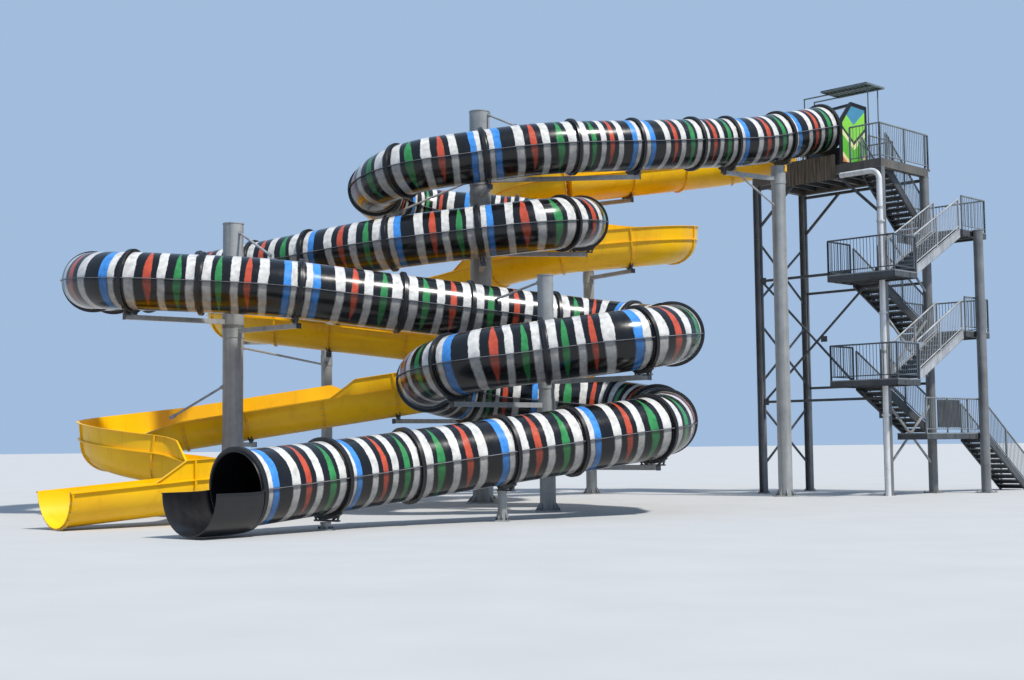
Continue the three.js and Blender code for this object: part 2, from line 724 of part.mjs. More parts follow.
function addDeck() {
  const over = columnSize / 2;
  const top = deckLevel;
  const under = deckLevel - deckThick - beamDepth;
  const openingStart = flightReach - topReach;
  const plate = block([-over, -over, top - deckThick], [deckEnd, bayLength + over, top]);
  const frame = join([
    block([-over, -over, under], [over, bayLength + over, top - 10]),
    block([bayDepth - over, -over, under], [bayDepth + over, bayLength + over, top - 10]),
    block([-over, -over, under], [bayDepth + over, over, top - 10]),
    block([-over, bayLength - over, under], [bayDepth + over, bayLength + over, top - 10]),
    block([-over, bayLength / 2 - 60, under + 40], [bayDepth + over, bayLength / 2 + 60, top - 10]),
    block([-over, flightOuter + 30, under + 40], [bayDepth + over, flightOuter + 150, top - 10]),
    block([openingStart - 100, -over, under + 40], [openingStart, flightOuter + 100, top - 10]),
  ]);
  const opening = block([openingStart + seatGap, over + 10, under - 10],
    [deckEnd + 10, flightOuter + 20, top + 10]);
  addPart('deck', plate.add(frame).subtract(opening), darkSteel, tower);
}

function addDeckRails() {
  const edge = columnSize / 2 - railBar;
  const level = deckLevel + deckThick + seatGap;
  const endX = deckEnd - railBar;
  const besideStair = flightOuter + 120;
  addPart('deck_rail_right', guard([[-edge, 1000], [-edge, -edge], [endX, -edge], [endX, edge]], level),
    steel, tower);
  addPart('deck_rail_rear', guard([
    [1400, besideStair], [endX, besideStair], [endX, bayLength + edge], [2400, bayLength + edge],
  ], level), steel, tower);
}

function addBoardScreen() {
  const face = -columnSize / 2 - seatGap;
  const screen = block([face - 40, 1500, deckLevel - 450], [face, 3300, deckLevel + 340]);
  addPart('board_screen', screen, boards, tower);
}

// Flat sun roof over the start of the tube, on four thin posts with two rails running past it
function addCanopy() {
  const [x0, x1] = [1150, 2250];
  const [y0, y1] = [1080, 2790];
  const roofLevel = 13050;
  const railEnd = 3700;
  const nearPost = flightOuter + 210;
  const parts = [block([x0, y0, roofLevel], [x1, y1, roofLevel + 45])];
  for (const x of [x0 + 400, x1 - 100]) {
    parts.push(bar([x, y0 + 50, roofLevel - 15], [x, railEnd, roofLevel - 15], 40, 40));
    for (const y of [nearPost, railEnd - 20]) {
      parts.push(block([x - 20, y - 20, deckLevel + seatGap], [x + 20, y + 20, roofLevel]));
      parts.push(block([x - 60, y - 60, deckLevel + seatGap], [x + 60, y + 60, deckLevel + 12]));
    }
  }
  addPart('canopy', join(parts), greenSheet, tower);
}

// Start booth on the deck: two cheek panels, a floor and a cross beam, in line with the tube
function addStartBooth() {
  const mouth = tubeLine.frame(0);
  const length = 1200;
  const cheek = 60;
  const half = 730;
  const base = deckLevel + seatGap - mouth.point.z;
  const brow = length * 0.42;
  const outline = [[-length, base], [0, base], [0, 150], [-brow, 780], [-length, 700]];
  const shape = new THREE.Shape(outline.map(([x, y]) => new THREE.Vector2(x, y)));
  const parts = [-half, half - cheek].map((offset) => {
    const panel = new THREE.ExtrudeGeometry(shape, { depth: cheek, bevelEnabled: false });
    panel.rotateX(Math.PI / 2);
    panel.translate(0, offset + cheek, 0);
    return solid(panel);
  });
  parts.push(block([-length, -half, base], [0, half, -tubeRadius + tubeWall]));
  parts.push(block([-brow - 90, -half, 690], [-brow, half, 770]));
  const turn = Math.atan2(mouth.along.y, mouth.along.x);
  const booth = join(parts).rotate([0, 0, (turn * 180) / Math.PI]);
  const tubeEnd = sweep(disc(tubeRadius + seatGap), tubeLine, [0, 600]);
  addPart('start_booth', booth.translate(mouth.point.toArray()).subtract(tubeEnd), blackShell, object);
}

// Water riser beside the front column, turning under the deck towards the slide starts
function addRiser() {
  const { x, y, diameter, run } = riserPipe;
  const level = deckLevel - deckThick - beamDepth - diameter / 2 - 40;
  const line = new CentreLine([[x, y, 0], [x, y, level, 300], [x, y + run, level]]);
  const sides = 8;
  const shape = new THREE.Shape(arcPoints(diameter / 2, 0, 2 * Math.PI, sides, 0).slice(0, sides));
  const stops = line.stations(0, line.length, []);
  class PipeSweep extends THREE.Curve {
    getSpacedPoints() {
      return stops.map((d) => line.frame(d).point);
    }

    computeFrenetFrames() {
      const across = new THREE.Vector3(1, 0, 0);
      const tangents = stops.map((d) => line.frame(d).along);
      const binormals = tangents.map((tangent) => tangent.clone().cross(across));
      return { tangents, normals: tangents.map(() => across), binormals };
    }
  }
  const course = { steps: stops.length - 1, extrudePath: new PipeSweep() };
  const pipe = solid(new THREE.ExtrudeGeometry(shape, course));
  const collars = [2400, 5500, 8300].map((z) => rod([x, y, z], [x, y, z + 50], diameter + 90, sides));
  const columnFace = -columnSize / 2 - seatGap;
  const straps = [4300, 8700].map((z) => block([x, y - 40, z], [columnFace, y + 40, z + 80]));
  addPart('riser_pipe', join([pipe, ...collars, ...straps]), paleSteel, tower);
}

addTube();
addExitTrough();
addFlume();
addSupports();
addColumns();
addBracings();
addStairs();
addDeck();
addDeckRails();
addBoardScreen();
addCanopy();
addStartBooth();
addRiser();

export default object;
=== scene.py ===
# Water slide tower: the finish of a steel stair tower, its closed tube slide and its open flume
# slide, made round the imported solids. Metres, Z up, the origin under the tower's front column.
import math

import bmesh
import bpy
from mathutils import Matrix, Vector


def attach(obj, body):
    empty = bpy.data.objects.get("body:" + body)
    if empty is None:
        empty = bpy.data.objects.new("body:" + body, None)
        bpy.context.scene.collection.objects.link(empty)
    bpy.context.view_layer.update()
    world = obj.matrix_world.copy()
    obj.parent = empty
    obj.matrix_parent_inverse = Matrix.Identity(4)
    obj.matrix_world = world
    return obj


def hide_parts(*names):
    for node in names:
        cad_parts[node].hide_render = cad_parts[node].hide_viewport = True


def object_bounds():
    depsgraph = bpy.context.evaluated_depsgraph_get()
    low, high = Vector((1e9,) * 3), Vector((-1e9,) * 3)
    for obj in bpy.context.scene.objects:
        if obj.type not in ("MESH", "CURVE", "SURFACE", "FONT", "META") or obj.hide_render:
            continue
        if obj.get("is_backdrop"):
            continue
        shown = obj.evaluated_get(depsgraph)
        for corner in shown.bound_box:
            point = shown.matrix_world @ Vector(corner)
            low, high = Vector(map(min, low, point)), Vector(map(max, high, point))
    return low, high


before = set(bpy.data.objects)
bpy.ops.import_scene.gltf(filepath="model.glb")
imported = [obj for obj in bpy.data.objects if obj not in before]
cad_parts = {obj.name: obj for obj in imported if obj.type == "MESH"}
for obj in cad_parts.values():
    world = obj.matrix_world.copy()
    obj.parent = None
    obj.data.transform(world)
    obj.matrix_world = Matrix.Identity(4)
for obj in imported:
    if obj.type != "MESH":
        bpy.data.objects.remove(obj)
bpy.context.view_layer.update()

# Studio: a pale floor that runs to the horizon, an even pale sky and one soft sun high on the
# right behind the camera. The camera stands at eye height, tilted up a little.
def node(tree, kind, inputs=None, **settings):
    made = tree.nodes.new(kind)
    for key, value in settings.items():
        setattr(made, key, value)
    for key, value in (inputs or {}).items():
        socket = made.inputs[key]
        if isinstance(value, bpy.types.NodeSocket):
            tree.links.new(value, socket)
        else:
            socket.default_value = value
    return made


def new_material(name):
    made = bpy.data.materials.new(name)
    made.use_nodes = True
    made.node_tree.nodes.clear()
    return made


def finish_material(made, shader):
    node(made.node_tree, "ShaderNodeOutputMaterial", {"Surface": shader.outputs[0]})
    return made


def studio_floor():
    reach = 600
    mesh = bpy.data.meshes.new("floor")
    corners = [(-reach, -reach, 0), (reach, -reach, 0), (reach, reach, 0), (-reach, reach, 0)]
    mesh.from_pydata(corners, [], [(0, 1, 2, 3)])
    pale = new_material("pale floor")
    place = node(pale.node_tree, "ShaderNodeTexCoord")
    grain = node(pale.node_tree, "ShaderNodeTexNoise", {"Vector": place.outputs["Object"], "Scale": 0.6})
    tone = node(pale.node_tree, "ShaderNodeValToRGB", {"Fac": grain.outputs["Fac"]})
    tone.color_ramp.elements[0].color = (0.42, 0.42, 0.415, 1)
    tone.color_ramp.elements[1].color = (0.48, 0.48, 0.475, 1)
    shader = node(pale.node_tree, "ShaderNodeBsdfPrincipled",
                  {"Base Color": tone.outputs["Color"], "Roughness": 0.85})
    mesh.materials.append(finish_material(pale, shader))
    floor = bpy.data.objects.new("floor", mesh)
    bpy.context.scene.collection.objects.link(floor)
    floor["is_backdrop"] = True


def studio_light():
    sky = bpy.data.worlds.new("pale sky")
    sky.use_nodes = True
    background = sky.node_tree.nodes["Background"]
    background.inputs["Color"].default_value = (0.50, 0.70, 1.0, 1)
    background.inputs["Strength"].default_value = 0.72
    bpy.context.scene.world = sky
    bpy.context.scene.view_settings.view_transform = "Standard"
    lamp = bpy.data.lights.new("soft sun", "SUN")
    lamp.energy = 4.6
    lamp.angle = math.radians(4)
    lamp.color = (1.0, 0.96, 0.9)
    shines_towards = Vector((-0.55, 0.45, -1.0))
    sun = bpy.data.objects.new("soft sun", lamp)
    sun.rotation_euler = shines_towards.to_track_quat("-Z", "Y").to_euler()
    bpy.context.scene.collection.objects.link(sun)


def photo_camera():
    focal_pixels = 1450
    frame_pixels = 1024
    pitch = math.radians(4.14)
    roll = -0.011
    eye = (-11.35, -44, 1.65)
    data = bpy.data.cameras.new("eye level")
    data.sensor_width = 36
    data.lens = data.sensor_width * focal_pixels / frame_pixels
    data.clip_end = 2000
    camera = bpy.data.objects.new("eye level", data)
    turn = Matrix.Rotation(math.pi / 2 + pitch, 4, "X") @ Matrix.Rotation(roll, 4, "Z")
    camera.matrix_world = Matrix.Translation(eye) @ turn
    bpy.context.scene.collection.objects.link(camera)
    bpy.context.scene.camera = camera


studio_floor()
studio_light()
photo_camera()


# Slide centre lines: the closed tube and the open flume both hang their sections, joints and arms
# on one line each, of straight stretches and round bends that falls evenly to the exit.
class CentreLine:
    def __init__(self, corners):
        self.parts = []
        self.bends = []
        self.length = 0
        points = [Vector(corner[:3]) for corner in corners]
        start = points[0]
        for corner, before_point, point, after_point in zip(
                corners[1:], points, points[1:], points[2:]):
            before = (point - before_point).normalized()
            after = (after_point - point).normalized()
            angle = before.angle(after)
            radius = corner[3]
            cut = radius * math.tan(angle / 2)
            self.add_straight(start, point - before * cut)
            self.add_bend(point - before * cut, before, (after - before * after.dot(before)).normalized(),
                          radius, angle)
            start = point + after * cut
        self.add_straight(start, points[-1])

    def add_straight(self, start, end):
        along = (end - start).normalized()
        self.parts.append((self.length, 0, lambda d: (start + along * d, along)))
        self.length += (end - start).length

    def add_bend(self, start, before, inward, radius, angle):
        centre = start + inward * radius

        def at(d):
            turn = d / radius
            point = centre - inward * radius * math.cos(turn) + before * radius * math.sin(turn)
            return point, before * math.cos(turn) + inward * math.sin(turn)

        self.parts.append((self.length, 1 / radius, at))
        self.bends.append((self.length, self.length + radius * angle))
        self.length += radius * angle

    def part(self, distance):
        return [part for part in self.parts if part[0] <= max(distance, 0)][-1]

    # The point, the travel direction, the level direction to its left, and the upward direction
    def frame(self, distance):
        start, _, at = self.part(distance)
        point, along = at(distance - start)
        side = Vector((0, 0, 1)).cross(along).normalized()
        return point, along, side, along.cross(side)

    # Even stations from one distance to another, close together on bends
    def stations(self, low, high, marks=()):
        longest, bend_angle = 0.6, 0.09
        fixed = sorted({low, high, *[mark for mark in marks if low < mark < high],
                        *[end for bend in self.bends for end in bend if low < end < high]})
        stops = [low]
        for near, far in zip(fixed, fixed[1:]):
            curve = self.part((near + far) / 2)[1]
            pace = min(longest, bend_angle / curve) if curve else longest
            count = max(1, math.ceil((far - near) / pace))
            stops += [near + (far - near) * k / count for k in range(1, count + 1)]
        return stops

    def nearest(self, x, y, z):
        target, pace = Vector((x, y, z)), 0.05
        steps = [pace * k for k in range(int(self.length / pace) + 1)]
        return min(steps, key=lambda d: (self.frame(d)[0] - target).length)


tube_line = CentreLine([
    (-1.41, 1.447, 11.53),
    (-4.05, -0.35, 10.78, 7),
    (-7.75, -2.4, 10.28, 9),
    (-10.45, -3.5, 10.03, 9),
    (-15.3, -3.9, 9.3, 1.9),
    (-15.3, 0.3, 8.95, 1.9),
    (-9.29, 0.3, 8.35, 1.9),
    (-9.29, -3.85, 7.9, 1.9),
    (-14.85, -3.7, 7.33, 9),
    (-22.41, -0.8, 6.4, 1.9),
    (-22.41, -7.8, 5.95, 1.9),
    (-17.55, -7.5, 5.72, 9),
    (-7.39, -4.6, 4.62, 1.9),
    (-7.39, -9.9, 4.22, 1.9),
    (-13.45, -10, 3.5, 1.9),
    (-13.45, -5.8, 3.08, 1.9),
    (-7.7, -5.8, 2.5, 1.9),
    (-7.7, -10.05, 2.06, 1.9),
    (-14.25, -13.9, 1.15, 6),
    (-16.55, -16.7, 0.87),
])
flume_line = CentreLine([
    (-2.2, 3.9, 11.4),
    (-3.65, 5.3, 11.25, 2),
    (-9.15, 2.9, 10.3, 3),
    (-11.45, 2.8, 10, 1.8),
    (-11.45, 6.5, 9.55, 1.8),
    (-5.85, 6.5, 8.75, 1.8),
    (-5.85, 2.8, 8.25, 1.8),
    (-10.35, 2.3, 7.85, 4),
    (-15.95, 5.9, 6.75, 4),
    (-20.3, 5.9, 6.15, 1.8),
    (-20.3, 0.5, 5.78, 1.8),
    (-9.49, 0.5, 4.4, 1.8),
    (-9.49, -3.25, 4, 1.8),
    (-21.7, -4.7, 2.15, 1.65),
    (-21.7, -8.1, 1.85, 1.65),
    (-18.15, -8.1, 1.25, 1.7),
    (-18.15, -11.6, 1.05, 1.8),
    (-20.8, -14.1, 0.79),
])


# Slide columns: round galvanised steel columns on bolted base plates, each with a capped top and
# box-section arms. An arm ends in short struts that carry a saddle under a joint of the slide.
class Work:
    def __init__(self):
        self.points = []
        self.faces = []
        self.coats = []
        self.finishes = []
        self.coat = 0

    def use(self, finish):
        if finish not in self.finishes:
            self.finishes.append(finish)
        self.coat = self.finishes.index(finish)
        return self

    def add(self, points, faces):
        first = len(self.points)
        self.points += [tuple(point) for point in points]
        self.faces += [[first + index for index in face] for face in faces]
        self.coats += [self.coat] * len(faces)

    # A closed solid through rings of equal count, with flat ends or joined round to its start
    def loft(self, rings, closed=False):
        count = len(rings[0])
        faces = []
        for i in range(len(rings) if closed else len(rings) - 1):
            near, far = i * count, ((i + 1) % len(rings)) * count
            for k in range(count):
                after = (k + 1) % count
                faces.append([near + k, near + after, far + after, far + k])
        if not closed:
            faces.append(list(range(count))[::-1])
            faces.append([(len(rings) - 1) * count + k for k in range(count)])
        self.add([point for ring in rings for point in ring], faces)

    def block(self, low, high):
        (x0, y0, z0), (x1, y1, z1) = low, high
        self.loft([[(x0, y0, z), (x1, y0, z), (x1, y1, z), (x0, y1, z)] for z in (z0, z1)])

    def prism(self, outline, low, high):
        self.loft([[(x, y, z) for x, y in outline] for z in (low, high)])

    # A straight piece with any outline (across, upwards) about the line between two points
    def bar(self, start, end, outline):
        start, end = Vector(start), Vector(end)
        along = (end - start).normalized()
        reference = Vector((1, 0, 0)) if abs(along.z) > 0.95 else Vector((0, 0, 1))
        side = reference.cross(along).normalized()
        up = along.cross(side)
        self.loft([[at + side * a + up * b for a, b in outline] for at in (start, end)])

    def rod(self, start, end, radius, sides=10):
        self.bar(start, end, circle(radius, sides))

    # A solid of rings round the vertical through (x, y), from pairs of radius and height
    def turned(self, x, y, profile, sides=32):
        self.loft([[(x + a, y + b, z) for a, b in circle(radius, sides)] for radius, z in profile])

    def mesh(self, name, turn=0, smooth=35):
        mesh = bpy.data.meshes.new(name)
        mesh.from_pydata(self.points, [], self.faces)
        for finish in self.finishes:
            mesh.materials.append(finish)
        mesh.polygons.foreach_set("material_index", self.coats)
        mesh.transform(Matrix.Rotation(turn, 4, "Z"))
        return shaded(mesh, smooth)


# The mesh with its faces turned outwards, smooth but for edges sharper than an angle in degrees
def shaded(mesh, smooth):
    shape = bmesh.new()
    shape.from_mesh(mesh)
    bmesh.ops.recalc_face_normals(shape, faces=shape.faces)
    shape.to_mesh(mesh)
    shape.free()
    mesh.shade_smooth()
    mesh.set_sharp_from_angle(angle=math.radians(smooth))
    return mesh


def circle(radius, sides):
    return [(radius * math.cos(2 * math.pi * k / sides), radius * math.sin(2 * math.pi * k / sides))
            for k in range(sides)]


def oblong(width, depth):
    a, b = width / 2, depth / 2
    return [(-a, -b), (a, -b), (a, b), (-a, b)]


def join_meshes(name, meshes):
    shape = bmesh.new()
    finishes = []
    for mesh in meshes:
        first = len(shape.faces)
        shape.from_mesh(mesh)
        shape.faces.ensure_lookup_table()
        for face in shape.faces[first:]:
            finish = mesh.materials[face.material_index]
            if finish not in finishes:
                finishes.append(finish)
            face.material_index = finishes.index(finish)
    joined = bpy.data.meshes.new(name)
    shape.to_mesh(joined)
    shape.free()
    for finish in finishes:
        joined.materials.append(finish)
    return joined


def set_piece(name, mesh, slot, *nodes):
    piece = bpy.data.objects.new(name, mesh)
    bpy.context.scene.collection.objects.link(piece)
    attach(piece, "root")
    if nodes:
        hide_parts(*nodes)
    return piece


# Hot-dip galvanised or painted steel: blotches of tone, dull rain streaks and a fine grain
def steel(name, dark, light, metal, rough):
    made = new_material(name)
    tree = made.node_tree
    place = node(tree, "ShaderNodeTexCoord")
    blotch = node(tree, "ShaderNodeTexNoise",
                  {"Vector": place.outputs["Object"], "Scale": 1.7, "Detail": 6, "Roughness": 0.65})
    tone = node(tree, "ShaderNodeValToRGB", {"Fac": blotch.outputs["Fac"]})
    tone.color_ramp.elements[0].position = 0.3
    tone.color_ramp.elements[0].color = (*dark, 1)
    tone.color_ramp.elements[1].position = 0.7
    tone.color_ramp.elements[1].color = (*light, 1)
    stretch = node(tree, "ShaderNodeMapping",
                   {"Vector": place.outputs["Object"], "Scale": (9, 9, 0.35)})
    rain = node(tree, "ShaderNodeTexNoise", {"Vector": stretch.outputs[0], "Scale": 1.0, "Detail": 3})
    streak = node(tree, "ShaderNodeMapRange",
                  {"Value": rain.outputs["Fac"], "From Min": 0.45, "From Max": 0.75,
                   "To Min": 1.0, "To Max": 0.72})
    colour = node(tree, "ShaderNodeVectorMath",
                  {0: tone.outputs["Color"], 1: streak.outputs["Result"]}, operation="MULTIPLY")
    sheen = node(tree, "ShaderNodeMapRange",
                 {"Value": blotch.outputs["Fac"], "To Min": rough - 0.12, "To Max": rough + 0.14})
    grain = node(tree, "ShaderNodeTexNoise", {"Vector": place.outputs["Object"], "Scale": 60})
    bump = node(tree, "ShaderNodeBump", {"Height": grain.outputs["Fac"], "Strength": 0.12, "Distance": 0.002})
    shader = node(tree, "ShaderNodeBsdfPrincipled",
                  {"Base Color": colour.outputs[0], "Roughness": sheen.outputs["Result"],
                   "Normal": bump.outputs[0], "Metallic": metal})
    return finish_material(made, shader)


column_steel = steel("column steel", (0.24, 0.25, 0.25), (0.36, 0.37, 0.37), 0.15, 0.5)
arm_steel = steel("arm steel", (0.27, 0.28, 0.285), (0.40, 0.41, 0.415), 0.2, 0.48)
dark_bolt_steel = steel("yoke steel", (0.05, 0.055, 0.06), (0.11, 0.115, 0.12), 0.5, 0.5)
ring_radius = 0.81
rib_radius = 0.78


def tube_arm(x, y, z):
    return tube_line, ring_radius, (x, y, z)


def flume_arm(x, y, z):
    return flume_line, rib_radius, (x, y, z)


slide_columns = [
    (-12.23, -2.1, 0.6, 11.4, [
        tube_arm(-12.1, -3.65, 9.77), tube_arm(-7.8, -2.5, 10.28), tube_arm(-12.25, -3.8, 7.6),
        tube_arm(-9.29, -1.8, 8.12), tube_arm(-12.4, 0.3, 8.65), flume_arm(-12.23, 0.5, 4.75),
        flume_arm(-14.65, -3.9, 3.2)]),
    (-18.72, -5.8, 0.54, 7.6, [
        tube_arm(-20.9, -7.75, 5.9), tube_arm(-16.8, -7.2, 5.64), tube_arm(-18.7, -2.2, 6.85),
        flume_arm(-18.6, -4.3, 2.6), flume_arm(-20.1, -8.1, 1.56)]),
    (-10.5, -7.8, 0.4, 5.9, [
        tube_arm(-8.4, -9.6, 4.15), tube_arm(-12.9, -9.7, 3.55), tube_arm(-8.2, -10.2, 2.05),
        tube_arm(-10.3, -5.45, 4.93), tube_arm(-10.5, -5.8, 2.78)]),
    (-3.07, 0.35, 0.43, 10.15, [tube_arm(-3.07, 0.35, 11.08), tube_arm(-4.8, -0.85, 10.7)]),
    (-8.75, 4.5, 0.36, 9.76, [
        flume_arm(-7.6, 3.58, 10.55), flume_arm(-7.6, 2.6, 8.1), flume_arm(-8.75, 6.5, 9.15)]),
    (-17.4, 3.2, 0.36, 5.9, [
        flume_arm(-17.4, 5.9, 6.55), flume_arm(-16.9, 0.5, 5.35), flume_arm(-20.3, 3.2, 5.97)]),
    (-11.6, -12.33, 0.2, 0.66, [tube_arm(-11.6, -12.33, 1.52)]),
    (-15.1, -14.95, 0.2, 0.16, [tube_arm(-15.1, -14.95, 1.0)]),
    (-18.15, -10, 0.2, 0.3, [flume_arm(-18.15, -10, 1.15)]),
]


def saddle(work, point, along, side, up, radius):
    thick, width, spread = 0.022, 0.12, 0.52
    angles = [-math.pi / 2 - spread + 2 * spread * k / 10 for k in range(11)]
    rings = []
    for offset in (-width / 2, width / 2):
        arc = [(radius + 0.001, a) for a in angles] + [(radius + thick, a) for a in angles[::-1]]
        rings.append([point + along * offset + side * r * math.cos(a) + up * r * math.sin(a) for r, a in arc])
    work.loft(rings)


def slide_arm(work, x, y, line, radius, near):
    arm_depth, arm_width, yoke_rise = 0.12, 0.13, 0.05
    shortest_arm, overhang, end_plate, floor_gap = 0.35, 0.16, 0.012, 0.002
    beam_half, head_angle, head_sink, strut_radius = 0.34, 0.46, 0.01, 0.024
    point, along, side, up = line.frame(line.nearest(*near))
    foot = point - up * (radius + yoke_rise + arm_depth / 2)
    foot.z = max(foot.z, arm_depth / 2 + floor_gap)
    root = Vector((x, y, foot.z))
    reach = (foot - root).length
    if reach > shortest_arm:
        outward = (foot - root).normalized()
        tip = foot + outward * overhang
        work.use(arm_steel).bar(root, tip, oblong(arm_width, arm_depth))
        end_outline = oblong(arm_width + 0.03, arm_depth + 0.02)
        work.use(dark_bolt_steel).bar(tip, tip + outward * end_plate, end_outline)
    work.use(dark_bolt_steel)
    saddle(work, point, along, side, up, radius)
    base = foot + up * (arm_depth / 2)
    work.bar(base - side * beam_half, base + side * beam_half, oblong(0.09, 0.035))
    for lean in (-1, 1):
        head_drop = radius * math.cos(head_angle) + head_sink
        head = point + side * lean * radius * math.sin(head_angle) - up * head_drop
        for strut_foot in (0.14, 0.3):
            work.rod(base + side * lean * strut_foot, head, strut_radius, 8)


def slide_column(index, x, y, diameter, top, arms):
    work = Work().use(column_steel)
    plate, half = diameter * 0.8, diameter / 2
    plate_thick, cap_rim, cap_thick, fin_half = 0.03, 0.012, 0.03, 0.008
    bolt_share, bolt_radius, collar_rim, collar_half = 0.86, 0.016, 0.014, 0.17
    work.block((x - plate, y - plate, 0), (x + plate, y + plate, plate_thick))
    work.turned(x, y, [(half, 0.01), (half, top - 0.012)])
    work.turned(x, y, [(half + cap_rim, top - cap_thick), (half + cap_rim, top)])
    for angle in range(0, 360, 45):
        out = Vector((math.cos(math.radians(angle)), math.sin(math.radians(angle)), 0))
        side = Vector((-out.y, out.x, 0)) * fin_half
        centre = Vector((x, y, 0))
        tall = min(0.24, top * 0.6)
        near, far = centre + out * half * 0.95, centre + out * plate * 0.98
        fin = [near + Vector((0, 0, 0.028)), far + Vector((0, 0, 0.028)), near + Vector((0, 0, tall))]
        work.loft([[point - side for point in fin], [point + side for point in fin]])
        bolt_low, bolt_high = (centre + out * plate * bolt_share + Vector((0, 0, z)) for z in (0.02, 0.075))
        work.use(dark_bolt_steel).rod(bolt_low, bolt_high, bolt_radius, 6)
        work.use(column_steel)
    for line, radius, near in arms:
        slide_arm(work, x, y, line, radius, near)
        point, _, _, up = line.frame(line.nearest(*near))
        level = (point - up * (radius + 0.11)).z
        if 0.3 < level < top - 0.2:
            collar = [(half + collar_rim, level - collar_half), (half + collar_rim, level + collar_half)]
            work.use(column_steel).turned(x, y, collar)
    node_name = f"slide_column_{index}"
    set_piece(f"{node_name}_steel", work.mesh(node_name), "grey_steel", node_name)


for index, column in enumerate(slide_columns, 1):
    slide_column(index, *column)


# Tie rods: thin round steel rods with end plates that hold the slides back to their columns.
def tie_rods():
    work = Work().use(arm_steel)
    rod_radius, past_end, plate_reach, plate_outline = 0.032, 0.05, 0.14, oblong(0.016, 0.1)
    ties = [
        ((-12.0, -2.25, 11.28), (-11.15, -3.15, 10.72)),
        ((-12.45, -2.25, 9.35), (-14.75, -2.4, 8.35)),
        ((-18.55, -5.95, 7.35), (-17.5, -7.15, 6.55)),
        ((-18.9, -5.9, 3.3), (-20.2, -6.4, 2.45)),
        ((-10.62, -7.65, 5.75), (-12.0, -6.3, 5.35)),
        ((-3.2, 0.25, 8.9), (-4.5, -0.65, 9.78)),
        ((-18.5, -5.6, 4.3), (-17.4, 2.9, 4.3)),
    ]
    for start, end in ties:
        start, end = Vector(start), Vector(end)
        along = (end - start).normalized()
        work.rod(start, end, rod_radius)
        work.bar(start - along * past_end, start + along * plate_reach, plate_outline)
        work.bar(end - along * plate_reach, end + along * past_end, plate_outline)
    set_piece("slide_tie_rods", work.mesh("tie rods"), "grey_steel")


tie_rods()

# Tower columns: rolled H sections on square base plates with hexagon bolts, a cap plate under the
# deck beams and bolted splice plates at two levels. The right column and the stair's are tubes.
tower_turn = math.pi / 4
bay_depth, bay_length = 2.65, 4.58
column_top = 10.0397
tower_steel = steel("tower column steel", (0.13, 0.135, 0.14), (0.22, 0.225, 0.23), 0.2, 0.5)


def h_section(size, flange, web):
    half = size / 2
    corner = [(-half, -half), (half, -half), (half, -half + flange), (web / 2, -half + flange)]
    return corner + [(a, -b) for a, b in corner[::-1]] + [(-a, -b) for a, b in corner[2:]] + [
        (-a, b) for a, b in corner[:1:-1]]


def base_plate(work, x, y, half):
    thick, bolt_share, bolt_radius = 0.03, 0.82, 0.015
    work.block((x - half, y - half, 0), (x + half, y + half, thick))
    for a in (-1, 1):
        for b in (-1, 1):
            bolt = (x + a * half * bolt_share, y + b * half * bolt_share)
            work.rod((*bolt, 0.02), (*bolt, 0.08), bolt_radius, 6)


def tower_column(name, x, y):
    size = 0.2
    splice_levels, splice_half, splice_face, splice_outside = (3.4, 6.9), 0.22, 0.0995, 0.112
    stiffener_levels, stiffener_half = (1.88, 3.48, 5.08, 6.68, 8.28), 0.094
    work = Work().use(tower_steel)
    outline = [(x + a, y + b) for a, b in h_section(size, 0.016, 0.011)]
    work.prism(outline, 0.02, column_top - 0.018)
    work.block((x - 0.1, y - 0.1, column_top - 0.02), (x + 0.1, y + 0.1, column_top))
    base_plate(work, x, y, 0.14)
    for level in splice_levels:
        for face in (-1, 1):
            near, far = sorted((y + face * splice_face, y + face * splice_outside))
            work.block((x - 0.08, near, level - splice_half), (x + 0.08, far, level + splice_half))
            for up in (-0.15, -0.06, 0.06, 0.15):
                for a in (x - 0.05, x + 0.05):
                    work.rod((a, y + face * 0.11, level + up), (a, y + face * 0.126, level + up), 0.014, 6)
    for level in stiffener_levels:
        work.block((x - stiffener_half, y - stiffener_half, level - 0.006),
                   (x + stiffener_half, y + stiffener_half, level + 0.006))
    set_piece(f"{name}_section", work.mesh(name, tower_turn), "grey_steel", name)


tower_column("column_front", 0, 0)
tower_column("column_left", 0, bay_length)
tower_column("column_rear", bay_depth, bay_length)


def round_column(name, x, y, radius, top):
    work = Work().use(tower_steel)
    work.turned(x, y, [(radius, 0.01), (radius, top - 0.008)])
    work.turned(x, y, [(radius + 0.008, top - 0.03), (radius + 0.008, top)])
    base_plate(work, x, y, radius * 1.66)
    set_piece(f"{name}_tube", work.mesh(name, tower_turn), "grey_steel", name)


round_column("column_right", bay_depth, 0, 0.145, column_top)
round_column("stair_column", 3.58, -1.3004, 0.15, 8.28)

# Tower bracing: the imported diagonals, horizontals and knees in dark steel, lighter on the right
# side as painted sunlight, with bolted gusset plates at the crossings and the long diagonals' ends.
brace_steel = steel("brace steel", (0.045, 0.05, 0.055), (0.09, 0.098, 0.105), 0.2, 0.5)
sunlit_brace_steel = steel("bright brace steel", (0.34, 0.35, 0.355), (0.5, 0.51, 0.52), 0.35, 0.42)


def coat_node(name, finish):
    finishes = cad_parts[name].data.materials
    finishes.clear()
    finishes.append(finish)


for name in ("bracing_front", "bracing_rear", "bracing_left"):
    coat_node(name, brace_steel)
coat_node("bracing_right", sunlit_brace_steel)


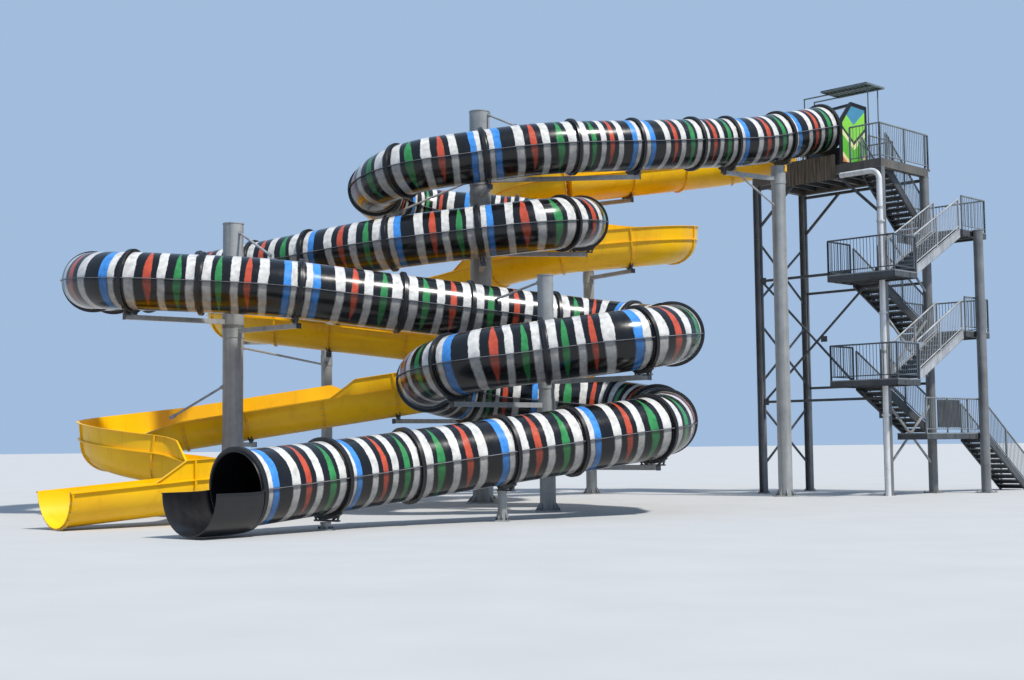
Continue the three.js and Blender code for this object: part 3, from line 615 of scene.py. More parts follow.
def gussets():
    work = Work()
    lows, span = (0.95, 3.65, 6.35), 1.8
    bolt_share, bolt_past, bolt_radius = 0.6, 0.016, 0.014

    def plate(centre, across, half, thick):
        x, y, z = centre
        dx, dy = (half, thick) if across == "x" else (thick, half)
        work.block((x - dx, y - dy, z - half), (x + dx, y + dy, z + half))
        for a in (-bolt_share, bolt_share):
            for b in (-bolt_share, bolt_share):
                offset = Vector((half * a, 0, half * b)) if across == "x" else Vector((0, half * a, half * b))
                reach = thick + bolt_past
                out = Vector((0, reach, 0)) if across == "x" else Vector((reach, 0, 0))
                work.rod(Vector(centre) + offset - out, Vector(centre) + offset + out, bolt_radius, 6)

    work.use(brace_steel)
    for low in lows:
        plate((bay_depth / 2, bay_length, low + span / 2), "x", 0.11, 0.034)
    plate((0, 2.16, 4.87), "y", 0.09, 0.04)
    for y, z in ((0.16, 2.44), (0.16, 6.84), (bay_length - 0.16, 6.9), (bay_length - 0.16, 2.95)):
        plate((0, y, z), "y", 0.1, 0.036)
    # The gussets on the right face take the lighter steel, as painted sunlight
    work.use(sunlit_brace_steel)
    for low in lows:
        plate((bay_depth / 2, 0, low + span / 2), "x", 0.11, 0.034)
    set_piece("brace_gussets", work.mesh("gussets", tower_turn), "dark_steel")


gussets()

# Guard rails: a square top rail and a lower rail on square posts, filled with round balusters. One
# set of nodes makes them along any run of edges, level on the landings and sloped on the flights.
rail_steel = steel("rail steel", (0.15, 0.17, 0.18), (0.27, 0.29, 0.30), 0.25, 0.45)
# A darker copy of the rail steel for the guards on the left side, painted shade
shaded_rail_steel = steel("dark rail steel", (0.04, 0.055, 0.07), (0.09, 0.11, 0.13), 0.2, 0.45)


def new_tree(name, sockets):
    tree = bpy.data.node_groups.new(name, "GeometryNodeTree")
    tree.interface.new_socket("Geometry", in_out="INPUT", socket_type="NodeSocketGeometry")
    for label, kind in sockets:
        tree.interface.new_socket(label, in_out="INPUT", socket_type="NodeSocket" + kind)
    tree.interface.new_socket("Geometry", in_out="OUTPUT", socket_type="NodeSocketGeometry")
    return tree, node(tree, "NodeGroupInput")


def close_tree(tree, geometry, finish):
    real = node(tree, "GeometryNodeRealizeInstances", {"Geometry": geometry})
    coat = node(tree, "GeometryNodeSetMaterial", {"Geometry": real.outputs[0], "Material": finish})
    node(tree, "NodeGroupOutput", {"Geometry": coat.outputs[0]})
    return tree


def joined(tree, *geometries):
    merge = node(tree, "GeometryNodeJoinGeometry")
    for geometry in geometries:
        tree.links.new(geometry, merge.inputs[0])
    return merge.outputs[0]


# The plain mesh that a tree makes from a base mesh, with its named inputs set
def run_tree(tree, base, values):
    maker = bpy.data.objects.new("maker", base)
    bpy.context.scene.collection.objects.link(maker)
    modifier = maker.modifiers.new("nodes", "NODES")
    modifier.node_group = tree
    for item in tree.interface.items_tree:
        if item.in_out == "INPUT" and item.name in values:
            modifier[item.identifier] = values[item.name]
    graph = bpy.context.evaluated_depsgraph_get()
    mesh = bpy.data.meshes.new_from_object(maker.evaluated_get(graph))
    bpy.data.objects.remove(maker)
    return mesh


def guard_tree():
    tree, given = new_tree("guard rail", [
        ("Rise", "Float"), ("Rail", "Float"), ("Post Gap", "Float"), ("Bar Gap", "Float"),
        ("Bar Radius", "Float"), ("Foot", "Float"), ("Finish", "Material")])
    path = node(tree, "GeometryNodeMeshToCurve", {"Mesh": given.outputs["Geometry"]}).outputs[0]

    def rail_at(height, size):
        lift = node(tree, "ShaderNodeCombineXYZ", {"Z": height})
        raised = node(tree, "GeometryNodeSetPosition", {"Geometry": path, "Offset": lift.outputs[0]})
        square = node(tree, "GeometryNodeCurvePrimitiveQuadrilateral", {"Width": size, "Height": size})
        swept = node(tree, "GeometryNodeCurveToMesh", {
            "Curve": raised.outputs[0], "Profile Curve": square.outputs[0], "Fill Caps": True})
        return swept.outputs[0]

    def uprights(gap, bar):
        points = node(tree, "GeometryNodeResampleCurve", {"Curve": path, "Length": gap}, mode="LENGTH")
        return node(tree, "GeometryNodeInstanceOnPoints",
                    {"Points": points.outputs[0], "Instance": bar}).outputs[0]

    rise, rail = given.outputs["Rise"], given.outputs["Rail"]
    thin = node(tree, "ShaderNodeMath", {0: rail, 1: 0.65}, operation="MULTIPLY").outputs[0]
    under = node(tree, "ShaderNodeMath", {0: rise, 1: given.outputs["Foot"]}, operation="SUBTRACT").outputs[0]
    middle = node(tree, "ShaderNodeMath", {0: under, 1: 0.5, 2: given.outputs["Foot"]},
                  operation="MULTIPLY_ADD").outputs[0]
    bar = node(tree, "GeometryNodeMeshCylinder",
               {"Vertices": 6, "Radius": given.outputs["Bar Radius"], "Depth": under}).outputs[0]
    bar_lift = node(tree, "ShaderNodeCombineXYZ", {"Z": middle}).outputs[0]
    bar = node(tree, "GeometryNodeTransform", {"Geometry": bar, "Translation": bar_lift}).outputs[0]
    post_size = node(tree, "ShaderNodeCombineXYZ", {"X": rail, "Y": rail, "Z": rise}).outputs[0]
    post = node(tree, "GeometryNodeMeshCube", {"Size": post_size}).outputs[0]
    half_rise = node(tree, "ShaderNodeMath", {0: rise, 1: 0.5}, operation="MULTIPLY").outputs[0]
    post_lift = node(tree, "ShaderNodeCombineXYZ", {"Z": half_rise}).outputs[0]
    post = node(tree, "GeometryNodeTransform", {"Geometry": post, "Translation": post_lift}).outputs[0]
    everything = joined(
        tree, rail_at(rise, rail), rail_at(given.outputs["Foot"], thin),
        uprights(given.outputs["Bar Gap"], bar), uprights(given.outputs["Post Gap"], post))
    return close_tree(tree, everything, given.outputs["Finish"])


guard_nodes = guard_tree()


def guard(runs, rise=1.05, rail=0.045, foot=0.11, finish=rail_steel):
    base = bpy.data.meshes.new("guard runs")
    points, edges = [], []
    for run in runs:
        for start, end in zip(run, run[1:]):
            edges.append((len(points), len(points) + 1))
            points += [start, end]
    base.from_pydata(points, edges, [])
    return run_tree(guard_nodes, base, {
        "Rise": rise, "Rail": rail, "Post Gap": 1.25, "Bar Gap": 0.11, "Bar Radius": 0.009, "Foot": foot,
        "Finish": finish})


# Gratings: flat bearing bars with cross rods, repeated down a flight as treads
def grating_tree():
    tree, given = new_tree("grating", [
        ("Length", "Float"), ("Width", "Float"), ("Pitch", "Float"), ("Cross Pitch", "Float"),
        ("Depth", "Float"), ("Start", "Vector"), ("Step", "Vector"), ("Copies", "Int")])

    def sums(a, b, operation):
        return node(tree, "ShaderNodeMath", {0: a, 1: b}, operation=operation).outputs[0]

    def row(size, reach, pitch, across):
        steps = sums(sums(reach, pitch, "DIVIDE"), 0, "ROUND")
        gap = sums(reach, steps, "DIVIDE")
        count = sums(steps, 1, "ADD")
        start = sums(reach, -0.5, "MULTIPLY")
        cube = node(tree, "GeometryNodeMeshCube", {"Size": size}).outputs[0]
        line = node(tree, "GeometryNodeMeshLine",
                    {"Count": count,
                     "Start Location": node(tree, "ShaderNodeCombineXYZ", {across: start}).outputs[0],
                     "Offset": node(tree, "ShaderNodeCombineXYZ", {across: gap}).outputs[0]})
        return node(tree, "GeometryNodeInstanceOnPoints",
                    {"Points": line.outputs[0], "Instance": cube}).outputs[0]

    length, width, depth = given.outputs["Length"], given.outputs["Width"], given.outputs["Depth"]
    bar = node(tree, "ShaderNodeCombineXYZ", {"X": length, "Y": 0.006, "Z": depth}).outputs[0]
    rod = node(tree, "ShaderNodeCombineXYZ", {"X": 0.008, "Y": width, "Z": 0.012}).outputs[0]
    edge = node(tree, "ShaderNodeCombineXYZ", {"X": 0.012, "Y": width, "Z": depth}).outputs[0]
    panel = joined(
        tree, row(bar, width, given.outputs["Pitch"], "Y"),
        row(rod, length, given.outputs["Cross Pitch"], "X"), row(edge, length, length, "X"))
    spots = node(tree, "GeometryNodeMeshLine",
                 {"Count": given.outputs["Copies"], "Start Location": given.outputs["Start"],
                  "Offset": given.outputs["Step"]})
    whole = node(tree, "GeometryNodeInstanceOnPoints", {"Points": spots.outputs[0], "Instance": panel})
    return close_tree(tree, whole.outputs[0], rail_steel)


grating_nodes = grating_tree()


def grating(low, high, top, depth=0.035, pitch=0.045, cross=0.1, step=(0, 0, 0), copies=1):
    (x0, y0), (x1, y1) = low, high
    return run_tree(grating_nodes, bpy.data.meshes.new("none"), {
        "Length": x1 - x0, "Width": y1 - y0, "Pitch": pitch, "Cross Pitch": cross, "Depth": depth,
        "Start": ((x0 + x1) / 2, (y0 + y1) / 2, top - depth / 2), "Step": step, "Copies": copies})


# Landings: a frame of channel section round joists, a grating on top and a guard on the open sides.
# The first landing also has a strip back to the tower, with a solid panel on its guard.
first_level, level_rise, landing_half = 1.88, 1.6, 1.15
reach_x, landing_depth, deep_extra = 2.88, 1.3, 0.25
frame_depth = 0.2


def edge_frame(work, low, high, top, joists):
    (x0, y0), (x1, y1) = low, high
    bottom = top - frame_depth
    web, flange, below_top, joist_half, grating_depth = 0.012, 0.07, 0.004, 0.03, 0.036
    for y, inward in ((y0, 1), (y1, -1)):
        near, far = sorted((y, y + inward * web))
        work.block((x0, near, bottom), (x1, far, top - below_top))
        near, far = sorted((y, y + inward * flange))
        work.block((x0, near, bottom), (x1, far, bottom + web))
    for x, inward in ((x0, 1), (x1, -1)):
        near, far = sorted((x, x + inward * web))
        work.block((near, y0, bottom), (far, y1, top - below_top))
        near, far = sorted((x, x + inward * flange))
        work.block((near, y0, bottom), (far, y1, bottom + web))
    for k in range(1, joists + 1):
        x = x0 + (x1 - x0) * k / (joists + 1)
        work.block((x - joist_half, y0, bottom + 0.02), (x + joist_half, y1, top - grating_depth))


def landing(index):
    level = first_level + (index - 1) * level_rise
    inset = 0.0275
    outer = landing_half - inset
    strip_start, strip_edge = 0.28, -0.16
    panel_start, panel_end, slat_start, slat_gap, slat_width = 0.95, 2.35, 0.98, 0.08, 0.03
    work = Work().use(brace_steel)
    plates = []
    if index % 2:
        far = reach_x + landing_depth + (0 if index == 1 else deep_extra)
        plates.append(((reach_x, -landing_half), (far, landing_half)))
        near, away = reach_x + inset, far - inset
        work.block((bay_depth + 0.14, -0.09, level - frame_depth), (reach_x + 0.01, 0.09, level - 0.004))
    else:
        plates.append(((-landing_depth, -landing_half), (-0.002, landing_half)))
        near, away = -inset, -landing_depth + inset
    if index == 1:
        plates.append(((strip_start, -landing_half), (reach_x, strip_edge)))
        work.block((2.59, -0.17, level - frame_depth), (2.71, -0.146, level - 0.004))
        runs = [[(strip_start + inset, -outer, level), (away, -outer, level)]]
    else:
        runs = [[(near, -outer, level), (away, -outer, level)], [(away, -outer, level), (away, outer, level)],
                [(away, outer, level), (near, outer, level)]]
    # Right landings take the rail steel for their guards, left landings the darker copy as painted shade
    meshes = [guard(runs, finish=rail_steel if index % 2 else shaded_rail_steel)]
    for low, high in plates:
        edge_frame(work, low, high, level, 2)
        meshes.append(grating(low, high, level - 0.001))
    if index == 1:
        work.block((panel_start, -outer - 0.024, level + 0.16), (panel_end, -outer - 0.012, level + 1.0))
        for k in range(17):
            x = slat_start + slat_gap * k
            work.block((x, -outer - 0.034, level + 0.17), (x + slat_width, -outer - 0.02, level + 0.99))
    meshes.append(work.mesh("landing frame"))
    mesh = join_meshes(f"landing {index}", meshes)
    mesh.transform(Matrix.Rotation(tower_turn, 4, "Z"))
    set_piece(f"landing_{index}_steelwork", mesh, "dark_steel", f"landing_{index}")


for index in range(1, 6):
    landing(index)


# Flights: two channel stringers, and grating treads over thin pans, each with a nosing bar and a
# riser plate, with a guard on each side. The first flight stands on the ground, the last meets the deck.
def flight(index, base, climb, risers, reach, low_x, direction, side):
    rise, going = climb / risers, reach / (risers - 1)
    slope = rise / going
    lane_near, lane_far = 0.16, 1.07
    inner, outer = sorted((side * lane_near, side * lane_far))
    gap, drop, thick, above_nosing, web_thick, tread_inset = 0.0004, 0.27, 0.06, 0.015, 0.01, 0.012

    def nosing(d):
        return base + rise + d * slope

    # Flights with a positive direction take the lighter steel for stringers and guards as painted sunlight,
    # the others darker steel as painted shade
    paint = sunlit_brace_steel if direction > 0 else rail_steel
    work = Work().use(sunlit_brace_steel if direction > 0 else brace_steel)
    start, end = gap, reach - gap
    foot = [(start, 0), ((drop - rise) / slope, 0)] if base == 0 else [(start, nosing(start) - drop)]
    outline = [(end, nosing(end) - drop), (end, nosing(end) + above_nosing),
               (start, nosing(start) + above_nosing), *foot]
    flange = 0.014
    for y, web_side in ((inner, 0), (outer - thick, 1)):
        web = y + web_side * (thick - web_thick)
        ring = [(low_x + direction * d, z) for d, z in outline]
        work.loft([[(x, at, z) for x, z in ring] for at in (web, web + web_thick)])
        run_start, run_end = (0 if base else (drop - rise) / slope), reach
        for top_edge in (above_nosing, -drop + flange):
            d0 = run_start if top_edge < 0 else start
            d1, z0, z1 = run_end - gap, nosing(d0) + top_edge, nosing(run_end) + top_edge
            strip = [(d0, z0 - flange), (d1, z1 - flange), (d1, z1), (d0, z0)]
            lowest = max(0.0, min(z for _, z in strip))
            strip = [(low_x + direction * d, max(z, lowest)) for d, z in strip]
            work.loft([[(x, at, z) for x, z in strip] for at in (y, y + thick)])
    treads = risers - 1
    first = low_x + direction * (going / 2)
    width = going + 0.02
    work.use(brace_steel)
    for i in range(treads):
        x, top = low_x + direction * (i * going + 0.02), base + (i + 1) * rise
        y0, y1 = inner + tread_inset, outer - tread_inset
        work.block((x - 0.02, y0, top - 0.045), (x + 0.02, y1, top - 0.0005))
        work.block((x - 0.003, y0, top - rise + 0.03), (x + 0.003, y1, top - 0.04))
        near, far = sorted((x + direction * 0.02, x + direction * (going - 0.004)))
        work.block((near, y0, top - 0.036), (far, y1, top - 0.032))
    step = (direction * going, 0, rise)
    meshes = [work.mesh("stringers"), grating(
        (first - width / 2 + direction * 0.01, inner + 0.014), (first + width / 2 - 0.02, outer - 0.014),
        base + rise - 0.001, 0.03, 0.06, 0.07, step, treads)]
    sides = []
    for y in (inner + thick / 2, outer - thick / 2):
        low, high = 0.035, reach - 0.035
        sides.append([(low_x + direction * low, y, nosing(low) - 0.02),
                      (low_x + direction * high, y, nosing(high) - 0.02)])
    meshes.append(guard(sides, 0.98, 0.042, 0.12, paint))
    mesh = join_meshes(f"flight {index}", meshes)
    mesh.transform(Matrix.Rotation(tower_turn, 4, "Z"))
    set_piece(f"flight_{index}_steelwork", mesh, "dark_steel", f"flight_{index}")


ground_going = 0.27
flight(1, 0, first_level, 11, 10 * ground_going, reach_x + landing_depth + 10 * ground_going, -1, -1)
deck_level = 10.3
for run in range(5):
    level = first_level + run * level_rise
    last = run == 4
    climb, risers = (deck_level - level, 13) if last else (level_rise, 10)
    on_right = run % 2 == 0
    flight(run + 2, level, climb, risers, 2.23 if last else reach_x, reach_x if on_right else 0,
           -1 if on_right else 1, 1 if on_right else -1)

# Start deck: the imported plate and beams, painted, with cross joists under the plate and stiffener
# plates on the outer beams. Its guards run along the right side and round the rear.
deck_paint = steel("deck paint", (0.075, 0.07, 0.062), (0.13, 0.12, 0.105), 0.05, 0.6)
coat_node("deck", deck_paint)


def deck_details():
    work = Work().use(brace_steel)
    under = deck_level - 0.26
    opening_end, joist_run, stiffener_gap = 1.22, 3.3, 4.6 / 8
    for k in range(1, 6):
        y = opening_end + joist_run * k / 6
        work.block((0.101, y - 0.02, deck_level - 0.2), (bay_depth - 0.101, y + 0.02, deck_level - 0.061))
    for x in (-0.1, bay_depth + 0.1):
        near, far = sorted((x, x + math.copysign(0.008, x - 1)))
        for k in range(9):
            y = -0.05 + stiffener_gap * k
            work.block((near, y - 0.006, under), (far, y + 0.006, deck_level - 0.06))
    set_piece("deck_joists", work.mesh("deck joists", tower_turn), "dark_steel")


deck_details()


def deck_guards():
    edge, away, level = 0.055, reach_x - 0.045, deck_level + 0.0004
    front_end, opening_start, opening_side, rear_end = 1.0, 1.4, 1.19, 2.4
    right = [[(-edge, front_end), (-edge, -edge)], [(-edge, -edge), (away, -edge)],
             [(away, -edge), (away, edge)]]
    rear = [[(opening_start, opening_side), (away, opening_side)],
            [(away, opening_side), (away, bay_length + edge)],
            [(away, bay_length + edge), (rear_end, bay_length + edge)]]
    for name, runs in (("deck_rail_right", right), ("deck_rail_rear", rear)):
        lifted = [[(x, y, level) for x, y in run] for run in runs]
        mesh = guard(lifted, 1.11)
        mesh.transform(Matrix.Rotation(tower_turn, 4, "Z"))
        set_piece(f"{name}_bars", mesh, "grey_steel", name)


deck_guards()

# Board screen: upright weathered boards side by side in front of the deck beam, on two battens.
def weathered_wood():
    made = new_material("weathered boards")
    tree = made.node_tree
    place = node(tree, "ShaderNodeTexCoord")
    stretch = node(tree, "ShaderNodeMapping", {"Vector": place.outputs["Object"], "Scale": (14, 14, 0.9)})
    fibre = node(tree, "ShaderNodeTexNoise", {"Vector": stretch.outputs[0], "Scale": 1.6, "Detail": 8})
    tone = node(tree, "ShaderNodeValToRGB", {"Fac": fibre.outputs["Fac"]})
    tone.color_ramp.elements[0].position = 0.3
    tone.color_ramp.elements[0].color = (0.055, 0.042, 0.03, 1)
    tone.color_ramp.elements[1].position = 0.72
    tone.color_ramp.elements[1].color = (0.19, 0.155, 0.11, 1)
    bump = node(tree, "ShaderNodeBump", {"Height": fibre.outputs["Fac"], "Strength": 0.5, "Distance": 0.004})
    shader = node(tree, "ShaderNodeBsdfPrincipled",
                  {"Base Color": tone.outputs["Color"], "Roughness": 0.8, "Normal": bump.outputs[0]})
    return finish_material(made, shader)


def board_screen():
    work = Work().use(weathered_wood())
    face, start, end, board = -0.1004, 1.5, 3.3, 0.142
    low, high = deck_level - 0.45, deck_level + 0.34
    count = round((end - start) / board)
    for k in range(count):
        y = start + (end - start) * k / count
        tip = 0.012 * math.sin(5.1 * k)
        work.block((face - 0.04, y + 0.004, low + abs(tip)), (face - 0.018, y + (end - start) / count - 0.004,
                                                           high - abs(tip)))
    for z in (low + 0.12, high - 0.16):
        work.block((face - 0.018, start, z), (face, end, z + 0.09))
    set_piece("board_screen_boards", work.mesh("boards", tower_turn), "boards", "board_screen")


board_screen()

# Canopy: a thin roof of ribbed green sheet on two rails, with four slim painted posts.
def canopy():
    sheet = steel("green sheet", (0.028, 0.075, 0.07), (0.045, 0.105, 0.1), 0.1, 0.45)
    posts = steel("canopy posts", (0.12, 0.16, 0.17), (0.2, 0.24, 0.25), 0.3, 0.45)
    x0, x1, y0, y1, roof = 1.15, 2.25, 1.08, 2.79, 13.05
    rail_end, near_post = 3.7, 1.28
    work = Work().use(sheet)
    waves, thick = 12, 0.006
    top = []
    for k in range(waves * 4 + 1):
        lift = (0.0, 0.028, 0.028, 0.0)[k % 4]
        top.append((y0 + (y1 - y0) * k / (waves * 4), roof + 0.012 + lift))
    outline = top + [(y, z - thick) for y, z in top[::-1]]
    work.loft([[(x, y, z) for y, z in outline] for x in (x0, x1)])
    work.use(posts)
    for y in (y0, y1):
        near, far = sorted((y, y + (0.012 if y == y0 else -0.012)))
        work.block((x0, near, roof - 0.02), (x1, far, roof + 0.042))
    for x in (x0, x1):
        near, far = sorted((x, x + (0.012 if x == x0 else -0.012)))
        work.block((near, y0, roof - 0.02), (far, y1, roof + 0.042))
    for x in (x0 + 0.4, x1 - 0.1):
        work.block((x - 0.02, y0 + 0.02, roof - 0.035), (x + 0.02, rail_end, roof + 0.004))
        for y in (near_post, rail_end - 0.02):
            work.turned(x, y, [(0.021, deck_level + 0.001), (0.021, roof - 0.03)], 12)
            work.block((x - 0.06, y - 0.06, deck_level + 0.0004), (x + 0.06, y + 0.06, deck_level + 0.012))
    set_piece("canopy_sheet", work.mesh("canopy", tower_turn), "green_sheet", "canopy")


canopy()

# Water riser: a bright steel pipe up the front column, with flanged joints and clamps to the
# column, that bends forward under the deck to the slide starts.
def riser():
    x, y, radius, run, bend = -0.24, -0.1, 0.085, 1.35, 0.3
    joint_levels, clamp_levels, bend_steps = (2.4, 5.5, 8.3), (4.3, 8.7), 12
    level = deck_level - 0.26 - radius - 0.04
    work = Work().use(steel("bright pipe", (0.56, 0.57, 0.58), (0.76, 0.77, 0.78), 0.2, 0.3))
    rings = [[(x + a, y + b, 0.0) for a, b in circle(radius, 24)]]
    for k in range(bend_steps + 1):
        turn = math.pi / 2 * k / bend_steps
        centre = Vector((x, y + bend * (1 - math.cos(turn)), level - bend + bend * math.sin(turn)))
        across, up = Vector((1, 0, 0)), Vector((0, math.cos(turn), -math.sin(turn)))
        rings.append([centre + across * a + up * b for a, b in circle(radius, 24)])
    rings.append([Vector((x + a, y + run, level - b)) for a, b in circle(radius, 24)])
    work.loft(rings)
    for z in joint_levels:
        for lift in (0.0, 0.027):
            work.turned(x, y, [(radius + 0.042, z + lift), (radius + 0.042, z + lift + 0.023)], 24)
    work.use(arm_steel)
    for z in joint_levels:
        for a, b in circle(radius + 0.026, 8):
            work.rod((x + a, y + b, z - 0.014), (x + a, y + b, z + 0.064), 0.009, 6)
    for z in clamp_levels:
        work.turned(x, y, [(radius + 0.009, z), (radius + 0.009, z + 0.08)], 24)
        work.block((x + radius, y - 0.03, z + 0.01), (-0.1004, y + 0.03, z + 0.07))
    set_piece("riser_pipe_steel", work.mesh("riser", tower_turn), "bright_pipe", "riser_pipe")


riser()

# Closed tube slide: half-pipe mouldings in translucent gelcoat, black with white, blue, red and
# green bands. A flange runs along both sides at mid height, where the two halves are bolted.
def stretches_of(line, cuts, prefix):
    marks = [0, *[line.bends[bend][end] for bend, end in cuts], line.length]
    order = ("run_1", "turn_1", "turn_2", "run_2", "turn_3", "run_3", "turn_4", "run_4", "turn_5", "turn_6",
             "run_5")
    names = [f"{prefix}_{name}" for name in order]
    return list(zip(names, marks, marks[1:]))


tube_cuts = [(3, 0), (5, 0), (6, 1), (8, 0), (9, 1), (11, 0), (12, 1), (13, 0), (15, 0), (16, 1)]
tube_stretches = stretches_of(tube_line, tube_cuts, "tube")


# The distances of every ring: one over each arm, the others where the sections of the tube meet
def ring_places():
    held = [tube_line.nearest(*near) for column in slide_columns for line, _, near in column[4]
            if line is tube_line]
    between = [0.06, 5.5, 9.55, 14.5, 16.3, 18.5, 21.93, 23.4, 26.9, 31.85, 34.3, 37.9, 39.6, 41.4, 43.4,
               47.65, 52.7, 54.5, 59.1, 60.6, 62.05, 66.15, 70.4, 72.5, 76.5, 78.2, 79.8, 83.5, 87.6, 91.9]
    return sorted(held + [place for place in between if min(abs(place - arm) for arm in held) > 0.7])


ring_spots = ring_places()
blue_leads = (8.4, 13.3, 46.4, 51.4, 64.9, 80.6, 86.4)


# The pattern's share at both ends of the section that holds a distance, and the section's two ends.
# A short section leaves the blue band out, and the band leads in some sections and trails in others.
def section_of(distance):
    near = max([spot for spot in ring_spots if spot <= distance], default=0)
    far = min([spot for spot in ring_spots if spot > distance], default=tube_line.length)
    first = 0 if far - near > 1.9 else 0.3
    shares = (first, 1) if any(near < lead < far for lead in blue_leads) else (1, first)
    return near, far, *shares


def banded_gelcoat():
    made = new_material("banded gelcoat")
    tree = made.node_tree

    def maths(operation, a, b=0.0, c=0.0):
        return node(tree, "ShaderNodeMath", {0: a, 1: b, 2: c}, operation=operation).outputs[0]

    def smooth(value, low, high):
        return node(tree, "ShaderNodeMapRange", {"Value": value, "From Min": low, "From Max": high},
                    interpolation_type="SMOOTHSTEP").outputs["Result"]

    def blend(share, under, over):
        mixed = node(tree, "ShaderNodeMix", {0: share}, data_type="RGBA")
        for socket, value in ((6, under), (7, over)):
            if isinstance(value, bpy.types.NodeSocket):
                tree.links.new(value, mixed.inputs[socket])
            else:
                mixed.inputs[socket].default_value = (*value, 1)
        return mixed.outputs[2]

    skin = node(tree, "ShaderNodeUVMap", uv_map="skin")
    parts = node(tree, "ShaderNodeSeparateXYZ", {"Vector": skin.outputs[0]})
    height = maths("SINE", maths("MULTIPLY", parts.outputs["Y"], 2 * math.pi))
    place = node(tree, "ShaderNodeTexCoord").outputs["Object"]
    waver = node(tree, "ShaderNodeTexNoise", {"Vector": place, "Scale": 1.3, "Detail": 3})
    ragged = node(tree, "ShaderNodeTexNoise", {"Vector": place, "Scale": 26, "Detail": 2})
    wander = maths("MULTIPLY_ADD", maths("SUBTRACT", waver.outputs["Fac"], 0.5), 0.05,
                   maths("MULTIPLY", maths("SUBTRACT", ragged.outputs["Fac"], 0.5), 0.012))
    along = maths("ADD", parts.outputs["X"], wander)
    # The lower half of the tube: its bands get softer edges, and it is darkened as painted shade
    lower = smooth(height, 0.03, -0.05)
    edge = maths("MULTIPLY_ADD", lower, 0.014, 0.006)

    def band(low, high, narrowing=0.0):
        taper = maths("MULTIPLY", lower, narrowing)
        rising = maths("DIVIDE", maths("SUBTRACT", along, maths("ADD", taper, low)), edge)
        falling = maths("DIVIDE", maths("SUBTRACT", maths("SUBTRACT", high, taper), along), edge)
        return smooth(maths("MINIMUM", rising, falling), -0.5, 0.5)

    # A band pointed at the crown and at the belly, and widest near the side flange
    def leaf(centre, half, peak):
        away = maths("ABSOLUTE", maths("SUBTRACT", height, peak))
        width = maths("MULTIPLY", maths("SUBTRACT", 1.0, maths("POWER", away, 2.5)), half)
        distance = maths("ABSOLUTE", maths("SUBTRACT", along, centre))
        return smooth(maths("DIVIDE", maths("SUBTRACT", width, distance), edge), -0.5, 0.5)

    colour = (0.006, 0.006, 0.007)
    white = (0.64, 0.625, 0.595)
    for low, high, narrowing in ((0.04, 0.10, 0.004), (0.317, 0.41, 0.008), (0.598, 0.682, 0.006),
                                 (0.873, 0.962, 0.003)):
        colour = blend(band(low, high, narrowing), colour, white)
    colour = blend(band(0.10, 0.175, 0.004), colour, (0.05, 0.25, 0.66))
    colour = blend(leaf(0.508, 0.034, 0.1), colour, (0.50, 0.075, 0.035))
    colour = blend(leaf(0.795, 0.036, 0.0), colour, (0.035, 0.24, 0.07))
    cloudy = node(tree, "ShaderNodeTexNoise", {"Vector": place, "Scale": 7, "Detail": 5})
    worn = node(tree, "ShaderNodeMapRange", {"Value": cloudy.outputs["Fac"], "From Min": 0.3,
                                             "From Max": 0.7, "To Min": 0.7, "To Max": 1.08})
    # Cloudy wear, times a darkening of the lower half by about half, which is painted shade
    wear_and_painted_shade = maths("MULTIPLY", worn.outputs["Result"], maths("MULTIPLY_ADD", lower, -0.52, 1.0))
    colour = node(tree, "ShaderNodeVectorMath", {0: colour, 1: wear_and_painted_shade}, operation="MULTIPLY").outputs[0]
    film = node(tree, "ShaderNodeMapRange", {"Value": cloudy.outputs["Fac"], "To Min": 0.12, "To Max": 0.3})
    ripple = node(tree, "ShaderNodeTexNoise", {"Vector": place, "Scale": 2.4, "Detail": 2})
    bump = node(tree, "ShaderNodeBump", {"Height": ripple.outputs["Fac"], "Strength": 0.25, "Distance": 0.02})
    shader = node(tree, "ShaderNodeBsdfPrincipled",
                  {"Base Color": colour, "Roughness": film.outputs["Result"], "Normal": bump.outputs[0],
                   "Specular IOR Level": 0.4, "Coat Weight": 0.12, "Coat Roughness": 0.08})
    return finish_material(made, shader)


band_gelcoat = banded_gelcoat()
black_gelcoat = steel("black gelcoat", (0.006, 0.006, 0.007), (0.013, 0.013, 0.015), 0.0, 0.32)
# A pale grey finish for the outer edge of the seam flange, a painted highlight
seam_highlight_strip = steel("seam edge", (0.10, 0.10, 0.105), (0.30, 0.30, 0.31), 0.0, 0.45)


